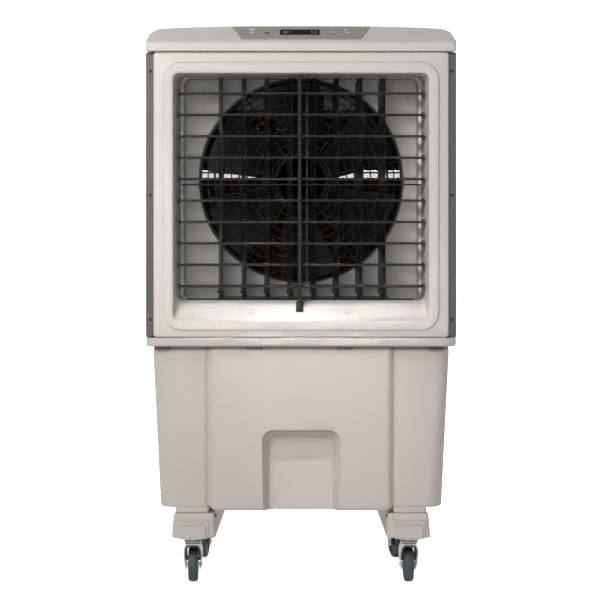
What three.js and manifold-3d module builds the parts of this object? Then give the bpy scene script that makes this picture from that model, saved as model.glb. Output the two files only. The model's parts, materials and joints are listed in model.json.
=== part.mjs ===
// Portable evaporative cooler on casters: a water tank carries the housing with the fan, pads and louvres.
// Millimetres, +Z up, the air outlet faces -Y, and the origin is on the floor under the middle.
import * as THREE from 'three';
import Module from 'manifold-3d';

const wasm = await Module();
wasm.setup();

// ---- driving dimensions ----
const WALL = 4;
const GAP = 0.4;
const HALF_WIDTH = 330;
const HALF_DEPTH = 215;
const HEIGHT = 1200;

// casters and the beams that carry them
const WHEEL_RADIUS = 37.5;
const WHEEL_HALF_WIDTH = 11;
const WHEEL_SIDES = 24;
const AXLE_RADIUS = 4;
const CASTER_X = 234;
const CASTER_Y = 146;
const CASTER_TRAIL = 28;
const FORK_TOP = 99.6;
const PLATE_BOTTOM = 100;
const BEAM_BOTTOM = 104;
const BEAM_TOP = 158;
const BEAM_INNER_X = 182;
const BEAM_OUTER_X = 276;
const BEAM_HALF_LENGTH = 192;

// tank
const TANK_BOTTOM = 170;
const TANK_TOP = 514;
const TANK_HALF_WIDTH = { low: 302, high: 317.6 };
const TANK_HALF_DEPTH = { low: 184, high: 197 };
const TANK_CORNER = 30;
const PROUD = 8;
const PROUD_HALF_WIDTH = { face: 183, foot: 199 };
const PROUD_BOTTOM = 164;
const RECESS_TOP = 340;
const RECESS_BACK_Y = -168;
const DRAIN_Z = 196;
const DRAIN_RADIUS = 15;
const INLET_X = 235;
const INLET_Z = 455;
const INLET_RADIUS = 9.5;

// base frame and housing
const BASE_BOTTOM = TANK_TOP + GAP;
const BASE_TOP = 533;
const HOUSING_BOTTOM = BASE_TOP + GAP;
const HOUSING_TOP = 1140;
const HOUSING_HALF_WIDTH = 313.7;
const PANEL_FACE_Y = -203;
const BEZEL_FACE_Y = -207;
const RETURN_Y = -180;
const GRILLE_HALF_LENGTH = 198;

// outlet tunnel, front to rear: [depth behind the bezel, half width, floor, ceiling]
const TUNNEL = [
  [0, 271.2, 571, 1094.2],
  [55, 266.5, 613, 1097.7],
  [163, 257, 613, 1105],
];
const TUNNEL_CORNER = 13;

// louvres
const LOUVRE_COUNT = 10;
const LOUVRE_TOP_Z = 1056.7;
const LOUVRE_PITCH = 45.95;
const LOUVRE_Y = -157;
const LOUVRE_CHORD = 48;
const LOUVRE_HALF_LENGTH = 262;
const LOUVRE_TILT = THREE.MathUtils.degToRad(4.5);
const LOUVRE_PIN_REACH = 28;
const LOUVRE_LINK_X = 12.8;
const POST_X = -3;

// vanes
const VANE_COUNT = 8;
const VANE_PITCH = 50.7;
const VANE_Y = -87;
const VANE_CHORD = 76;
const VANE_BOTTOM = 628;
const VANE_TOP = 1097;
const VANE_YAW = THREE.MathUtils.degToRad(9);
const VANE_LINK_REACH = 29;
const DRIVEN_VANE = 5;

// fan
const FAN_Z = 880;
const RING_RADIUS = 228;
const RING_WALL = 3;
const RING_SIDES = 40;
const DECK_Y = -43.6;
const RING_REAR_Y = 28;
const ROTOR_RADIUS = 220;
const ROTOR_FRONT_Y = -27;
const ROTOR_REAR_Y = 23;
const HUB_RADIUS = 65;
const ROTOR_BLADES = 6;
const GUARD_SPOKES = 8;
const SHAFT_RADIUS = 8;
const MOTOR_RADIUS = 62;
const MOTOR_FRONT_Y = 34;
const MOTOR_REAR_Y = 112;

// pads and water
const PAD_BOTTOM = HOUSING_BOTTOM + WALL + 1;
const PAD_TOP = 1062;
const SIDE_PAD_X = [280, 309];
const SIDE_PAD_Y = [-172, 162];
const REAR_PAD_Y = [166, 198];
const REAR_PAD_HALF_WIDTH = 272;
const TRAY_BOTTOM = 1066;
const TRAY_TOP = 1092;
const PIPE_X = -255;
const PIPE_Y = 142;
const PIPE_RADIUS = 8;

// lid
const LID_BOTTOM = HOUSING_TOP + GAP;
const LID_HALF_WIDTH = 329.6;
const LID_HALF_DEPTH = 212;
const LID_CORNER = 29;
const SLOPE_LOW_Z = 1159;
const SLOPE_RUN = 45;
const SLOPE_ANGLE = Math.atan2(HEIGHT - SLOPE_LOW_Z, SLOPE_RUN);
const KEY_X = [-105, -73, 67, 98];
const KEY_RADIUS = 6;

// ---- colours: [colour, roughness, metalness] ----
const FINISH = {
  shell: [0xdedad3, 0.5, 0],
  tank: [0xc8c2bb, 0.55, 0],
  darkGrey: [0x6e6a65, 0.6, 0],
  louvre: [0x47443f, 0.5, 0],
  black: [0x1a1917, 0.45, 0],
  panel: [0x8d8984, 0.4, 0],
  key: [0xd8d6d0, 0.4, 0],
  pad: [0x7a5c3c, 0.95, 0],
  steel: [0xb8babd, 0.25, 1],
  brass: [0xb08d4a, 0.35, 1],
  tread: [0x505f69, 0.7, 0],
  white: [0xe9e8e4, 0.5, 0],
};

// ---- solids ----
function signedVolume(positions, index) {
  const a = new THREE.Vector3();
  const b = new THREE.Vector3();
  const c = new THREE.Vector3();
  let volume = 0;
  for (let i = 0; i < index.length; i += 3) {
    a.fromArray(positions, index[i] * 3);
    b.fromArray(positions, index[i + 1] * 3);
    c.fromArray(positions, index[i + 2] * 3);
    volume += a.dot(b.cross(c)) / 6;
  }
  return volume;
}

function solid(positions, index) {
  const triVerts = new Uint32Array(index);
  if (signedVolume(positions, index) < 0) {
    for (let i = 0; i < triVerts.length; i += 3) {
      [triVerts[i + 1], triVerts[i + 2]] = [triVerts[i + 2], triVerts[i + 1]];
    }
  }
  const mesh = new wasm.Mesh({ numProp: 3, vertProperties: new Float32Array(positions), triVerts });
  return new wasm.Manifold(mesh);
}

// Triangles of a flat outline, all turning the way the outline does when seen from above.
function capTriangles(outline) {
  const points = outline.map(([u, v]) => new THREE.Vector2(u, v));
  return THREE.ShapeUtils.triangulateShape(points, []).map(([a, b, c]) => {
    const turn = (points[b].x - points[a].x) * (points[c].y - points[a].y)
      - (points[b].y - points[a].y) * (points[c].x - points[a].x);
    return turn > 0 ? [a, b, c] : [a, c, b];
  });
}

// A closed body through outlines with equal point counts; place(u, v, level) gives each point in space.
function loft(outlines, levels, place) {
  const clockwise = THREE.ShapeUtils.area(outlines[0].map(([u, v]) => new THREE.Vector2(u, v))) < 0;
  const turned = outlines.map((outline) => (clockwise ? [...outline].reverse() : outline));
  const count = turned[0].length;
  const last = (turned.length - 1) * count;
  const positions = turned.flatMap((outline, k) => outline.flatMap(([u, v]) => place(u, v, levels[k])));
  const index = [];
  for (let k = 0; k < last; k += count) {
    for (let i = 0; i < count; i += 1) {
      const j = (i + 1) % count;
      index.push(k + i, k + j, k + count + j);
      index.push(k + i, k + count + j, k + count + i);
    }
  }
  capTriangles(turned[0]).forEach(([a, b, c]) => index.push(a, c, b));
  capTriangles(turned[turned.length - 1]).forEach(([a, b, c]) => index.push(last + a, last + b, last + c));
  return solid(positions, index);
}

const ALONG = {
  x: (u, v, level) => [level, u, v],
  y: (u, v, level) => [u, level, v],
  z: (u, v, level) => [u, v, level],
};

function prism(outline, axis, from, to) {
  return loft([outline, outline], [from, to], ALONG[axis]);
}

function box([x0, x1], [y0, y1], [z0, z1]) {
  return prism([[x0, y0], [x1, y0], [x1, y1], [x0, y1]], 'z', z0, z1);
}

function circle(radius, sides, [u, v] = [0, 0], turn = 0) {
  return Array.from({ length: sides }, (_, i) => {
    const angle = turn + (2 * Math.PI * i) / sides;
    return [u + radius * Math.cos(angle), v + radius * Math.sin(angle)];
  });
}

function rod(axis, radius, from, to, centre, sides = 12) {
  return prism(circle(radius, sides, centre), axis, from, to);
}

// A ring about an axis along Y through the fan's centre.
function fanRing(inner, outer, from, to, sides = 24) {
  const centre = [0, FAN_Z];
  const bore = rod('y', inner, from - 1, to + 1, centre, sides);
  return rod('y', outer, from, to, centre, sides).subtract(bore);
}

function roundedRectangle([u0, u1], [v0, v1], radius, steps = 4) {
  const corners = [[u1, v1, 0], [u0, v1, 1], [u0, v0, 2], [u1, v0, 3]];
  return corners.flatMap(([u, v, quarter]) => {
    const centreU = u - Math.sign(u - (u0 + u1) / 2) * radius;
    const centreV = v - Math.sign(v - (v0 + v1) / 2) * radius;
    return Array.from({ length: steps + 1 }, (_, i) => {
      const angle = ((quarter + i / steps) * Math.PI) / 2;
      return [centreU + radius * Math.cos(angle), centreV + radius * Math.sin(angle)];
    });
  });
}

function joined(solids) {
  return solids.reduce((all, next) => all.add(next));
}

function mesh(name, body, finish) {
  const { vertProperties, triVerts } = body.getMesh();
  const geometry = new THREE.BufferGeometry();
  geometry.setAttribute('position', new THREE.BufferAttribute(new Float32Array(vertProperties), 3));
  geometry.setIndex(new THREE.BufferAttribute(new Uint32Array(triVerts), 1));
  const [color, roughness, metalness] = FINISH[finish];
  const part = new THREE.Mesh(geometry, new THREE.MeshStandardMaterial({ color, roughness, metalness }));
  part.name = name;
  return part;
}

function placed(part, x, y, z) {
  part.position.set(x, y, z);
  return part;
}

// ---- tank ----
function tankShare(level) {
  return (level - TANK_BOTTOM) / (TANK_TOP - TANK_BOTTOM);
}

function tankHalfDepth(level) {
  return THREE.MathUtils.lerp(TANK_HALF_DEPTH.low, TANK_HALF_DEPTH.high, tankShare(level));
}

function tankHalfWidth(level) {
  return THREE.MathUtils.lerp(TANK_HALF_WIDTH.low, TANK_HALF_WIDTH.high, tankShare(level));
}

// The tapered body with its proud centre, drawn in by the inset.
function tankBody(inset, top) {
  const bottom = TANK_BOTTOM + inset;
  const proudBottom = PROUD_BOTTOM + inset;
  const corners = [bottom, top].map((level) => {
    const halfWidth = tankHalfWidth(level) - inset;
    const halfDepth = tankHalfDepth(level) - inset;
    return roundedRectangle([-halfWidth, halfWidth], [-halfDepth, halfDepth], TANK_CORNER - inset);
  });
  const centre = [proudBottom, top].map((level) => {
    const [face, foot] = [PROUD_HALF_WIDTH.face - inset, PROUD_HALF_WIDTH.foot - inset];
    const shallow = tankHalfDepth(level) - inset - 1;
    const deep = tankHalfDepth(level) + PROUD - inset;
    const right = [[foot, -shallow], [foot, shallow], [face, deep]];
    const left = [[-face, deep], [-foot, shallow], [-foot, -shallow]];
    return [[-face, -deep], [face, -deep], ...right, ...left];
  });
  return loft(corners, [bottom, top], ALONG.z).add(loft(centre, [proudBottom, top], ALONG.z));
}

// The dent low in the front: it narrows from the front face to its back.
function tankRecess(grow) {
  const low = PROUD_BOTTOM - 20;
  const mouth = roundedRectangle([-88 - grow, 88 + grow], [low, RECESS_TOP + grow], 25 + grow);
  const back = roundedRectangle([-68 - grow, 68 + grow], [low, RECESS_TOP - 18 + grow], 18 + grow);
  return loft([mouth, back], [-HALF_DEPTH, RECESS_BACK_Y + grow], ALONG.y);
}

function tank() {
  const foot = (sideX, sideY) => box(
    [sideX * 198, sideX * 268].sort((a, b) => a - b),
    [sideY * 124, sideY * (TANK_HALF_DEPTH.low - 0.4)].sort((a, b) => a - b),
    [BEAM_TOP + GAP, TANK_BOTTOM + 1],
  );
  const feet = [-1, 1].flatMap((sideX) => [-1, 1].map((sideY) => foot(sideX, sideY)));
  const drainStub = rod('y', DRAIN_RADIUS, tankHalfDepth(DRAIN_Z), 208, [0, DRAIN_Z], 24);
  const drainBore = rod('y', DRAIN_RADIUS - 4, 150, 212, [0, DRAIN_Z], 24);
  const inletHole = rod('y', INLET_RADIUS + GAP, 170, 210, [INLET_X, INLET_Z]);
  const hollow = tankBody(WALL, TANK_TOP + 1).subtract(tankRecess(WALL));
  const body = joined([tankBody(0, TANK_TOP).subtract(tankRecess(0)), ...feet, drainStub])
    .subtract(hollow)
    .subtract(drainBore)
    .subtract(inletHole);
  return mesh('tank', body, 'tank');
}

function drainCap() {
  const cup = rod('y', DRAIN_RADIUS + 5, 195, 213, [0, DRAIN_Z], 24)
    .subtract(rod('y', DRAIN_RADIUS + 0.6, 194, 209, [0, DRAIN_Z], 24));
  const grip = box([-14, 14], [212, 214.8], [DRAIN_Z - 2.5, DRAIN_Z + 2.5]);
  return mesh('drain_cap', cup.add(grip), 'darkGrey');
}

function inletValve() {
  const centre = [INLET_X, INLET_Z];
  const inside = tankHalfDepth(INLET_Z) - WALL - 1;
  const outside = tankHalfDepth(INLET_Z) + 1;
  const body = joined([
    rod('y', INLET_RADIUS, 168, HALF_DEPTH - 0.4, centre),
    rod('y', 16, inside - 12, inside, centre, 6),
    rod('y', 16, outside, outside + 6, centre, 6),
  ]);
  return mesh('inlet_valve', body.subtract(rod('y', 5, 172, HALF_DEPTH, centre)), 'brass');
}

// The arm is built level, pointing forward from its pivot, then hangs down.
function floatArm() {
  const body = joined([
    rod('x', 5, -7, 7, [0, 0]),
    rod('y', 2.5, -60, 0, [0, 0], 8),
    loft([
      roundedRectangle([-18, 18], [-14, 14], 6, 2),
      roundedRectangle([-22, 22], [-18, 18], 6, 2),
      roundedRectangle([-18, 18], [-14, 14], 6, 2),
    ], [-112, -86, -58], ALONG.y),
  ]);
  const arm = placed(mesh('float_arm', body, 'white'), INLET_X, 158, INLET_Z);
  arm.rotation.x = THREE.MathUtils.degToRad(35);
  return arm;
}

function pump() {
  const base = loft([
    roundedRectangle([-33, 33], [-32, 32], 10),
    roundedRectangle([-28, 28], [-27, 27], 10),
  ], [TANK_BOTTOM + WALL + 1, 236], ALONG.z);
  const neck = rod('z', 13, 230, 250, [0, 0]);
  const bore = rod('z', PIPE_RADIUS + GAP, 240, 251, [0, 0]);
  return placed(mesh('pump', base.add(neck).subtract(bore), 'black'), PIPE_X, PIPE_Y, 0);
}

// ---- base frame, housing and lid ----
function baseFrame() {
  const low = roundedRectangle([-322, 322], [-208, 208], 22);
  const high = roundedRectangle([-HALF_WIDTH, HALF_WIDTH], [-HALF_DEPTH, HALF_DEPTH], 28);
  const outer = loft([low, high, high], [BASE_BOTTOM, BASE_BOTTOM + 8, BASE_TOP], ALONG.z);
  const opening = roundedRectangle([-296, 296], [-183, 183], 18);
  return mesh('base_frame', outer.subtract(prism(opening, 'z', BASE_BOTTOM - 1, BASE_TOP + 1)), 'shell');
}

// A shallow tray standing on edge, open to the inside, whose face is at faceY.
function faceTray(faceY, returnY) {
  const rectangle = (inset) => roundedRectangle(
    [-HOUSING_HALF_WIDTH + inset, HOUSING_HALF_WIDTH - inset],
    [HOUSING_BOTTOM + inset, HOUSING_TOP - inset],
    8 - inset,
    2,
  );
  const inward = Math.sign(returnY - faceY);
  const outer = prism(rectangle(0), 'y', faceY, returnY);
  return outer.subtract(prism(rectangle(WALL), 'y', faceY + inward * WALL, returnY + inward));
}

function tunnel(grow, front, rear) {
  const outlines = TUNNEL.map(([, halfWidth, floor, ceiling]) => roundedRectangle(
    [-halfWidth - grow, halfWidth + grow],
    [floor - grow, ceiling + grow],
    TUNNEL_CORNER + grow,
  ));
  const levels = TUNNEL.map(([depth]) => BEZEL_FACE_Y + depth);
  levels[0] -= front;
  levels[levels.length - 1] += rear;
  return loft(outlines, levels, ALONG.y);
}

function frontPanel() {
  const bezelOutline = roundedRectangle([-292.4, 292.4], [548.6, 1117.3], 20);
  const bezel = prism(bezelOutline, 'y', BEZEL_FACE_Y, PANEL_FACE_Y + 1);
  const vanePin = [vaneX(DRIVEN_VANE), VANE_Y];
  const vanePinHole = rod('z', 5, TUNNEL[2][2] - 10, TUNNEL[2][2] + 3, vanePin);
  const body = joined([faceTray(PANEL_FACE_Y, RETURN_Y), bezel, tunnel(WALL, 0, 0)])
    .subtract(tunnel(0, 1, 1))
    .subtract(vanePinHole);
  return mesh('front_panel', body, 'shell');
}

function slats(count, bottom, top, make) {
  const pitch = (top - bottom) / (count + 1);
  return Array.from({ length: count }, (_, i) => make(bottom + pitch * (i + 1)));
}

function sideGrille(name, side) {
  const inner = HOUSING_HALF_WIDTH + 0.6;
  const bottom = HOUSING_BOTTOM;
  const top = HOUSING_TOP;
  const span = [-GRILLE_HALF_LENGTH, GRILLE_HALF_LENGTH];
  const frame = box([inner, HALF_WIDTH], span, [bottom, top])
    .subtract(box([inner - 1, HALF_WIDTH + 1], [-176, 176], [bottom + 22, top - 22]));
  const mullion = box([inner, inner + 6], [-5, 5], [bottom + 20, top - 20]);
  const slat = (z) => box([inner + 2, HALF_WIDTH - 2], [-177, 177], [z, z + 4]);
  const body = joined([frame, mullion, ...slats(13, bottom + 22, top - 22, slat)]);
  return mesh(name, side > 0 ? body : body.mirror([1, 0, 0]), 'darkGrey');
}

function rearFrame() {
  const opening = prism(roundedRectangle([-252, 252], [575, 1050], 10), 'y', 190, 220);
  return mesh('rear_frame', faceTray(-PANEL_FACE_Y, -RETURN_Y).subtract(opening), 'shell');
}

function rearGrille() {
  const [y0, y1] = [REAR_PAD_Y[1] + 1, -BEZEL_FACE_Y];
  const outline = (inset) => roundedRectangle(
    [-251.6 + inset, 251.6 - inset],
    [575.4 + inset, 1049.6 - inset],
    9,
    1,
  );
  const frame = prism(outline(0), 'y', y0, y1).subtract(prism(outline(16), 'y', y0 - 1, y1 + 1));
  const mullion = box([-4, 4], [y0, y0 + 3], [585, 1040]);
  const slat = (z) => box([-237, 237], [y0 + 1, y1 - 1], [z, z + 4]);
  return mesh('rear_grille', joined([frame, mullion, ...slats(11, 585, 1036, slat)]), 'darkGrey');
}

// The lid's rounded front view crossed with its side view.
function lidBody(inset, bottom) {
  const halfWidth = LID_HALF_WIDTH - inset;
  const top = HEIGHT - inset;
  const shoulder = (side, step) => {
    const angle = (step / 5) * (Math.PI / 2);
    const radius = LID_CORNER - inset;
    return [side * (halfWidth - radius + radius * Math.cos(angle)), top - radius + radius * Math.sin(angle)];
  };
  const steps = [0, 1, 2, 3, 4, 5];
  const frontView = [
    [-halfWidth, bottom],
    [halfWidth, bottom],
    ...steps.map((step) => shoulder(1, step)),
    ...[...steps].reverse().map((step) => shoulder(-1, step)),
  ];
  const depth = LID_HALF_DEPTH - inset;
  const ease = inset * Math.tan(SLOPE_ANGLE / 2);
  const sideView = [
    [-depth, bottom],
    [depth, bottom],
    [depth, 1168 - inset],
    [depth - 8, 1186 - inset],
    [depth - 26, 1197 - inset],
    [depth - 44, top],
    [-LID_HALF_DEPTH + SLOPE_RUN + ease, top],
    [-depth, SLOPE_LOW_Z - ease],
  ];
  return prism(frontView, 'y', -HALF_DEPTH, HALF_DEPTH)
    .intersect(prism(sideView, 'x', -HALF_WIDTH, HALF_WIDTH));
}

// A point of the sloped strip: across, up the slope from its middle, and out of it.
function onSlope(u, v, out) {
  const y = -LID_HALF_DEPTH + SLOPE_RUN / 2 + v * Math.cos(SLOPE_ANGLE) - out * Math.sin(SLOPE_ANGLE);
  const z = (SLOPE_LOW_Z + HEIGHT) / 2 + v * Math.sin(SLOPE_ANGLE) + out * Math.cos(SLOPE_ANGLE);
  return [u, y, z];
}

function slopePrism(outline, from, to) {
  return loft([outline, outline], [from, to], onSlope);
}

function lid() {
  const window = slopePrism([[-120, -12], [120, -12], [120, 12], [-120, 12]], -12, 6);
  const shell = lidBody(0, LID_BOTTOM).subtract(lidBody(WALL, LID_BOTTOM - 1));
  return mesh('lid', shell.subtract(window), 'shell');
}

function controlPanel() {
  const plate = slopePrism([[-126, -22.5], [126, -22.5], [147, 23], [-147, 23]], 0.3, 2);
  const holes = KEY_X.map((x) => slopePrism(circle(KEY_RADIUS + GAP, 12, [x, 0]), 0, 3));
  return mesh('control_panel', holes.reduce((all, hole) => all.subtract(hole), plate), 'panel');
}

function key(number) {
  const x = KEY_X[number - 1];
  const cap = slopePrism(circle(KEY_RADIUS, 12, [x, 0]), -3, 3.4);
  const flange = slopePrism(circle(KEY_RADIUS + 2.5, 12, [x, 0]), -3, -0.2);
  return mesh(`button_${number}`, cap.add(flange), 'key');
}

// ---- outlet ----
function centreSupport() {
  const slope = (TUNNEL[1][2] - TUNNEL[0][2]) / TUNNEL[1][0];
  const foot = (y) => TUNNEL[0][2] + (y - BEZEL_FACE_Y) * slope + 0.8;
  const [front, rear] = [-187, -163];
  const side = [[front, foot(front)], [rear, foot(rear)], [rear, 1092], [front, 1092]];
  const post = prism(side, 'x', POST_X - 3.5, POST_X + 3.5);
  const sole = [[front, foot(front)], [rear, foot(rear)], [rear, foot(rear) + 8], [front, foot(front) + 8]];
  const base = prism(sole, 'x', POST_X - 8, POST_X + 8);
  const bar = box([-258, 258], [rear - 1, rear + 4], [859.5, 862.5]);
  return mesh('centre_support', joined([post, base, bar]), 'louvre');
}

function louvreZ(number) {
  return LOUVRE_TOP_Z - LOUVRE_PITCH * (number - 1);
}

// One blade about its own pivot; the rear lug carries the link's pin.
function louvre(number) {
  const half = LOUVRE_CHORD / 2;
  const section = [[-half, -0.8], [0, -1.9], [half, -0.8], [half, 0.8], [0, 1.9], [-half, 0.8]];
  const tab = (side) => box(
    [side * LOUVRE_HALF_LENGTH, side * (LOUVRE_HALF_LENGTH - 2)].sort((a, b) => a - b),
    [-20, 14],
    [-7, 7],
  );
  const blade = joined([
    prism(section, 'x', -LOUVRE_HALF_LENGTH, LOUVRE_HALF_LENGTH),
    tab(-1),
    tab(1),
    rod('x', 2.5, -LOUVRE_HALF_LENGTH - 3, -LOUVRE_HALF_LENGTH + 1, [0, 0], 8),
    rod('x', 2.5, LOUVRE_HALF_LENGTH - 1, LOUVRE_HALF_LENGTH + 3, [0, 0], 8),
    box([LOUVRE_LINK_X + 2.4, LOUVRE_LINK_X + 4.8], [half - 6, LOUVRE_PIN_REACH + 3], [-3, 3]),
  ]);
  const notch = box([POST_X - 5.5, POST_X + 5.5], [-half - 1, -4], [-9, 9]);
  const name = `louvre_${String(number).padStart(2, '0')}`;
  const part = placed(mesh(name, blade.subtract(notch), 'louvre'), 0, LOUVRE_Y, louvreZ(number));
  part.rotation.x = LOUVRE_TILT;
  return part;
}

function louvreLink() {
  const y = LOUVRE_Y + LOUVRE_PIN_REACH * Math.cos(LOUVRE_TILT);
  const rise = LOUVRE_PIN_REACH * Math.sin(LOUVRE_TILT);
  const bar = box(
    [LOUVRE_LINK_X - 2, LOUVRE_LINK_X + 2],
    [y - 2, y + 2],
    [louvreZ(LOUVRE_COUNT) + rise - 8, louvreZ(1) + rise + 8],
  );
  return mesh('louvre_link', bar, 'louvre');
}

function vaneX(number) {
  return VANE_PITCH * (number - (VANE_COUNT + 1) / 2);
}

function vane(number) {
  const half = VANE_CHORD / 2;
  const section = [[-0.7, -half], [0.7, -half], [1.6, 0], [0.7, half], [-0.7, half], [-1.6, 0]];
  const pinBottom = number === DRIVEN_VANE ? 604.5 : TUNNEL[2][2] + 0.6;
  const body = joined([
    prism(section, 'z', VANE_BOTTOM, VANE_TOP),
    rod('z', 3.5, pinBottom, VANE_BOTTOM + 6, [0, 0], 8),
    rod('z', 3.5, VANE_TOP - 6, VANE_TOP + 3, [0, 0], 8),
    rod('z', 2.5, VANE_BOTTOM - 1.6, VANE_BOTTOM + 3, [0, -VANE_LINK_REACH], 6),
  ]);
  const part = placed(mesh(`vane_${number}`, body, 'louvre'), vaneX(number), VANE_Y, 0);
  part.rotation.z = VANE_YAW;
  return part;
}

function vaneLink() {
  const shift = VANE_LINK_REACH * Math.sin(VANE_YAW);
  const y = VANE_Y - VANE_LINK_REACH * Math.cos(VANE_YAW);
  const reach = vaneX(VANE_COUNT) + 8;
  const bar = box([shift - reach, shift + reach], [y - 3, y + 3], [617, VANE_BOTTOM - 2]);
  return mesh('vane_link', bar, 'louvre');
}

function swingMotor() {
  const centre = [vaneX(DRIVEN_VANE), VANE_Y];
  const body = rod('z', 24, 578, 600, centre, 24).add(rod('z', 8, 599, 604, centre, 12));
  return mesh('swing_motor', body, 'steel');
}

// ---- fan ----
function fanDeck() {
  const outline = roundedRectangle([-270, 270], [596, 1118], 12, 2);
  const plate = prism(outline, 'y', DECK_Y, DECK_Y + WALL);
  const bore = rod('y', RING_RADIUS, DECK_Y - 1, RING_REAR_Y + 1, [0, FAN_Z], RING_SIDES);
  const ring = rod('y', RING_RADIUS + RING_WALL, DECK_Y, RING_REAR_Y, [0, FAN_Z], RING_SIDES);
  return mesh('fan_deck', plate.add(ring).subtract(bore), 'white');
}

function fanGuard() {
  const [front, rear] = [DECK_Y + 2, DECK_Y + 5.5];
  const radii = [HUB_RADIUS + 2, 145, RING_RADIUS - 2];
  const rings = radii.map((radius) => fanRing(radius - 4, radius, front, rear));
  const spokes = Array.from({ length: GUARD_SPOKES }, (_, i) => {
    const spoke = box([HUB_RADIUS, RING_RADIUS - 4], [front, rear], [-1.5, 1.5]);
    return spoke.rotate([0, (i + 0.5) * (360 / GUARD_SPOKES), 0]).translate([0, 0, FAN_Z]);
  });
  return mesh('fan_guard', joined([...rings, ...spokes]), 'black');
}

// A twisted blade from the hub to the tip, thin and pitched less towards the tip.
function rotorBlade(number) {
  const middle = (ROTOR_FRONT_Y + ROTOR_REAR_Y) / 2;
  const stations = [0, 0.33, 0.66, 1];
  const across = [-1, -0.4, 0.3, 1];
  const outline = (share) => {
    const chord = THREE.MathUtils.lerp(68, 150, share ** 0.8);
    const pitch = THREE.MathUtils.degToRad(THREE.MathUtils.lerp(38, 17, share));
    const side = (offset) => across.map((s) => {
      const along = (s * chord) / 2;
      const camber = (1 - s * s) * 6 + offset;
      const u = along * Math.cos(pitch) - camber * Math.sin(pitch);
      const v = along * Math.sin(pitch) + camber * Math.cos(pitch);
      return [u, v];
    });
    return [...side(-1.5), ...side(1.5).reverse()];
  };
  const radii = stations.map((share) => THREE.MathUtils.lerp(HUB_RADIUS - 8, ROTOR_RADIUS, share));
  const onRadius = (along, axial, radius) => {
    const sweep = along / radius;
    const reach = Math.max(radius * Math.cos(sweep * 0.2), HUB_RADIUS - 8);
    return [reach * Math.cos(sweep), middle + axial, reach * Math.sin(sweep)];
  };
  const blade = loft(stations.map(outline), radii, onRadius);
  return blade.rotate([0, (360 / ROTOR_BLADES) * (number + 0.5), 0]);
}

function fanRotor() {
  const hub = loft(
    [circle(HUB_RADIUS - 6, 24), circle(HUB_RADIUS, 24), circle(HUB_RADIUS, 24)],
    [ROTOR_FRONT_Y, ROTOR_FRONT_Y + 6, ROTOR_REAR_Y],
    ALONG.y,
  );
  const blades = Array.from({ length: ROTOR_BLADES }, (_, i) => rotorBlade(i));
  const pocket = rod('y', HUB_RADIUS - 5, ROTOR_FRONT_Y + 8, ROTOR_REAR_Y + 40, [0, 0], 24);
  const boss = rod('y', 16, ROTOR_FRONT_Y + 4, ROTOR_REAR_Y, [0, 0]);
  const bore = rod('y', SHAFT_RADIUS + GAP, ROTOR_FRONT_Y + 12, ROTOR_REAR_Y + 1, [0, 0]);
  const body = joined([hub, ...blades]).subtract(pocket).add(boss).subtract(bore);
  return placed(mesh('fan_rotor', body, 'black'), 0, 0, FAN_Z);
}

function fanMotor() {
  const centre = [0, FAN_Z];
  const body = joined([
    rod('y', MOTOR_RADIUS, MOTOR_FRONT_Y, MOTOR_REAR_Y, centre, 32),
    rod('y', 26, MOTOR_FRONT_Y - 6, MOTOR_FRONT_Y + 1, centre, 24),
    rod('y', SHAFT_RADIUS, ROTOR_FRONT_Y + 14, MOTOR_FRONT_Y, centre),
  ]);
  return mesh('fan_motor', body, 'black');
}

function motorBracket() {
  const [front, rear] = [MOTOR_REAR_Y + GAP, MOTOR_REAR_Y + 6.4];
  const legFront = DECK_Y + WALL + GAP;
  const reach = RING_RADIUS + RING_WALL + 14;
  const arm = (turn) => joined([
    box([0, reach], [front, rear], [-12, 12]),
    box([reach - 9, reach], [legFront, rear], [-12, 12]),
  ]).rotate([0, turn, 0]);
  const body = joined([45, 135, 225, 315].map(arm)).add(rod('y', 40, front, rear, [0, 0], 24));
  return placed(mesh('motor_bracket', body, 'steel'), 0, 0, FAN_Z);
}

// ---- pads and water tray ----
function sidePad(name, side) {
  const x = SIDE_PAD_X.map((value) => value * side).sort((a, b) => a - b);
  return mesh(name, box(x, SIDE_PAD_Y, [PAD_BOTTOM, PAD_TOP]), 'pad');
}

function rearPad() {
  const across = [-REAR_PAD_HALF_WIDTH, REAR_PAD_HALF_WIDTH];
  return mesh('pad_rear', box(across, REAR_PAD_Y, [PAD_BOTTOM, PAD_TOP]), 'pad');
}

// The U-shaped tray over the three pads, and the pipe that fills it from the pump.
function waterDistributor() {
  const channel = (inset, bottom, top) => {
    const innerX = SIDE_PAD_X[0] - 4 + inset;
    const outerX = SIDE_PAD_X[1] - inset;
    const rear = [REAR_PAD_Y[0] - 4 + inset, REAR_PAD_Y[1] - inset];
    const along = [SIDE_PAD_Y[0] + inset, REAR_PAD_Y[1] - inset];
    return joined([
      box([innerX, outerX], along, [bottom, top]),
      box([-outerX, -innerX], along, [bottom, top]),
      box([-outerX, outerX], rear, [bottom, top]),
    ]);
  };
  const boss = box(
    [-SIDE_PAD_X[0] - 2, PIPE_X + 14],
    [PIPE_Y - 14, REAR_PAD_Y[0] - 2],
    [TRAY_BOTTOM, TRAY_BOTTOM + 14],
  );
  const pipe = rod('z', PIPE_RADIUS, 241, TRAY_BOTTOM + 8, [PIPE_X, PIPE_Y]);
  const bore = rod('z', PIPE_RADIUS - 2, 240, TRAY_BOTTOM + 10, [PIPE_X, PIPE_Y]);
  const body = joined([channel(0, TRAY_BOTTOM, TRAY_TOP), boss, pipe])
    .subtract(channel(3, TRAY_BOTTOM + 3, TRAY_TOP + 1))
    .subtract(bore);
  return mesh('water_distributor', body, 'white');
}

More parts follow.
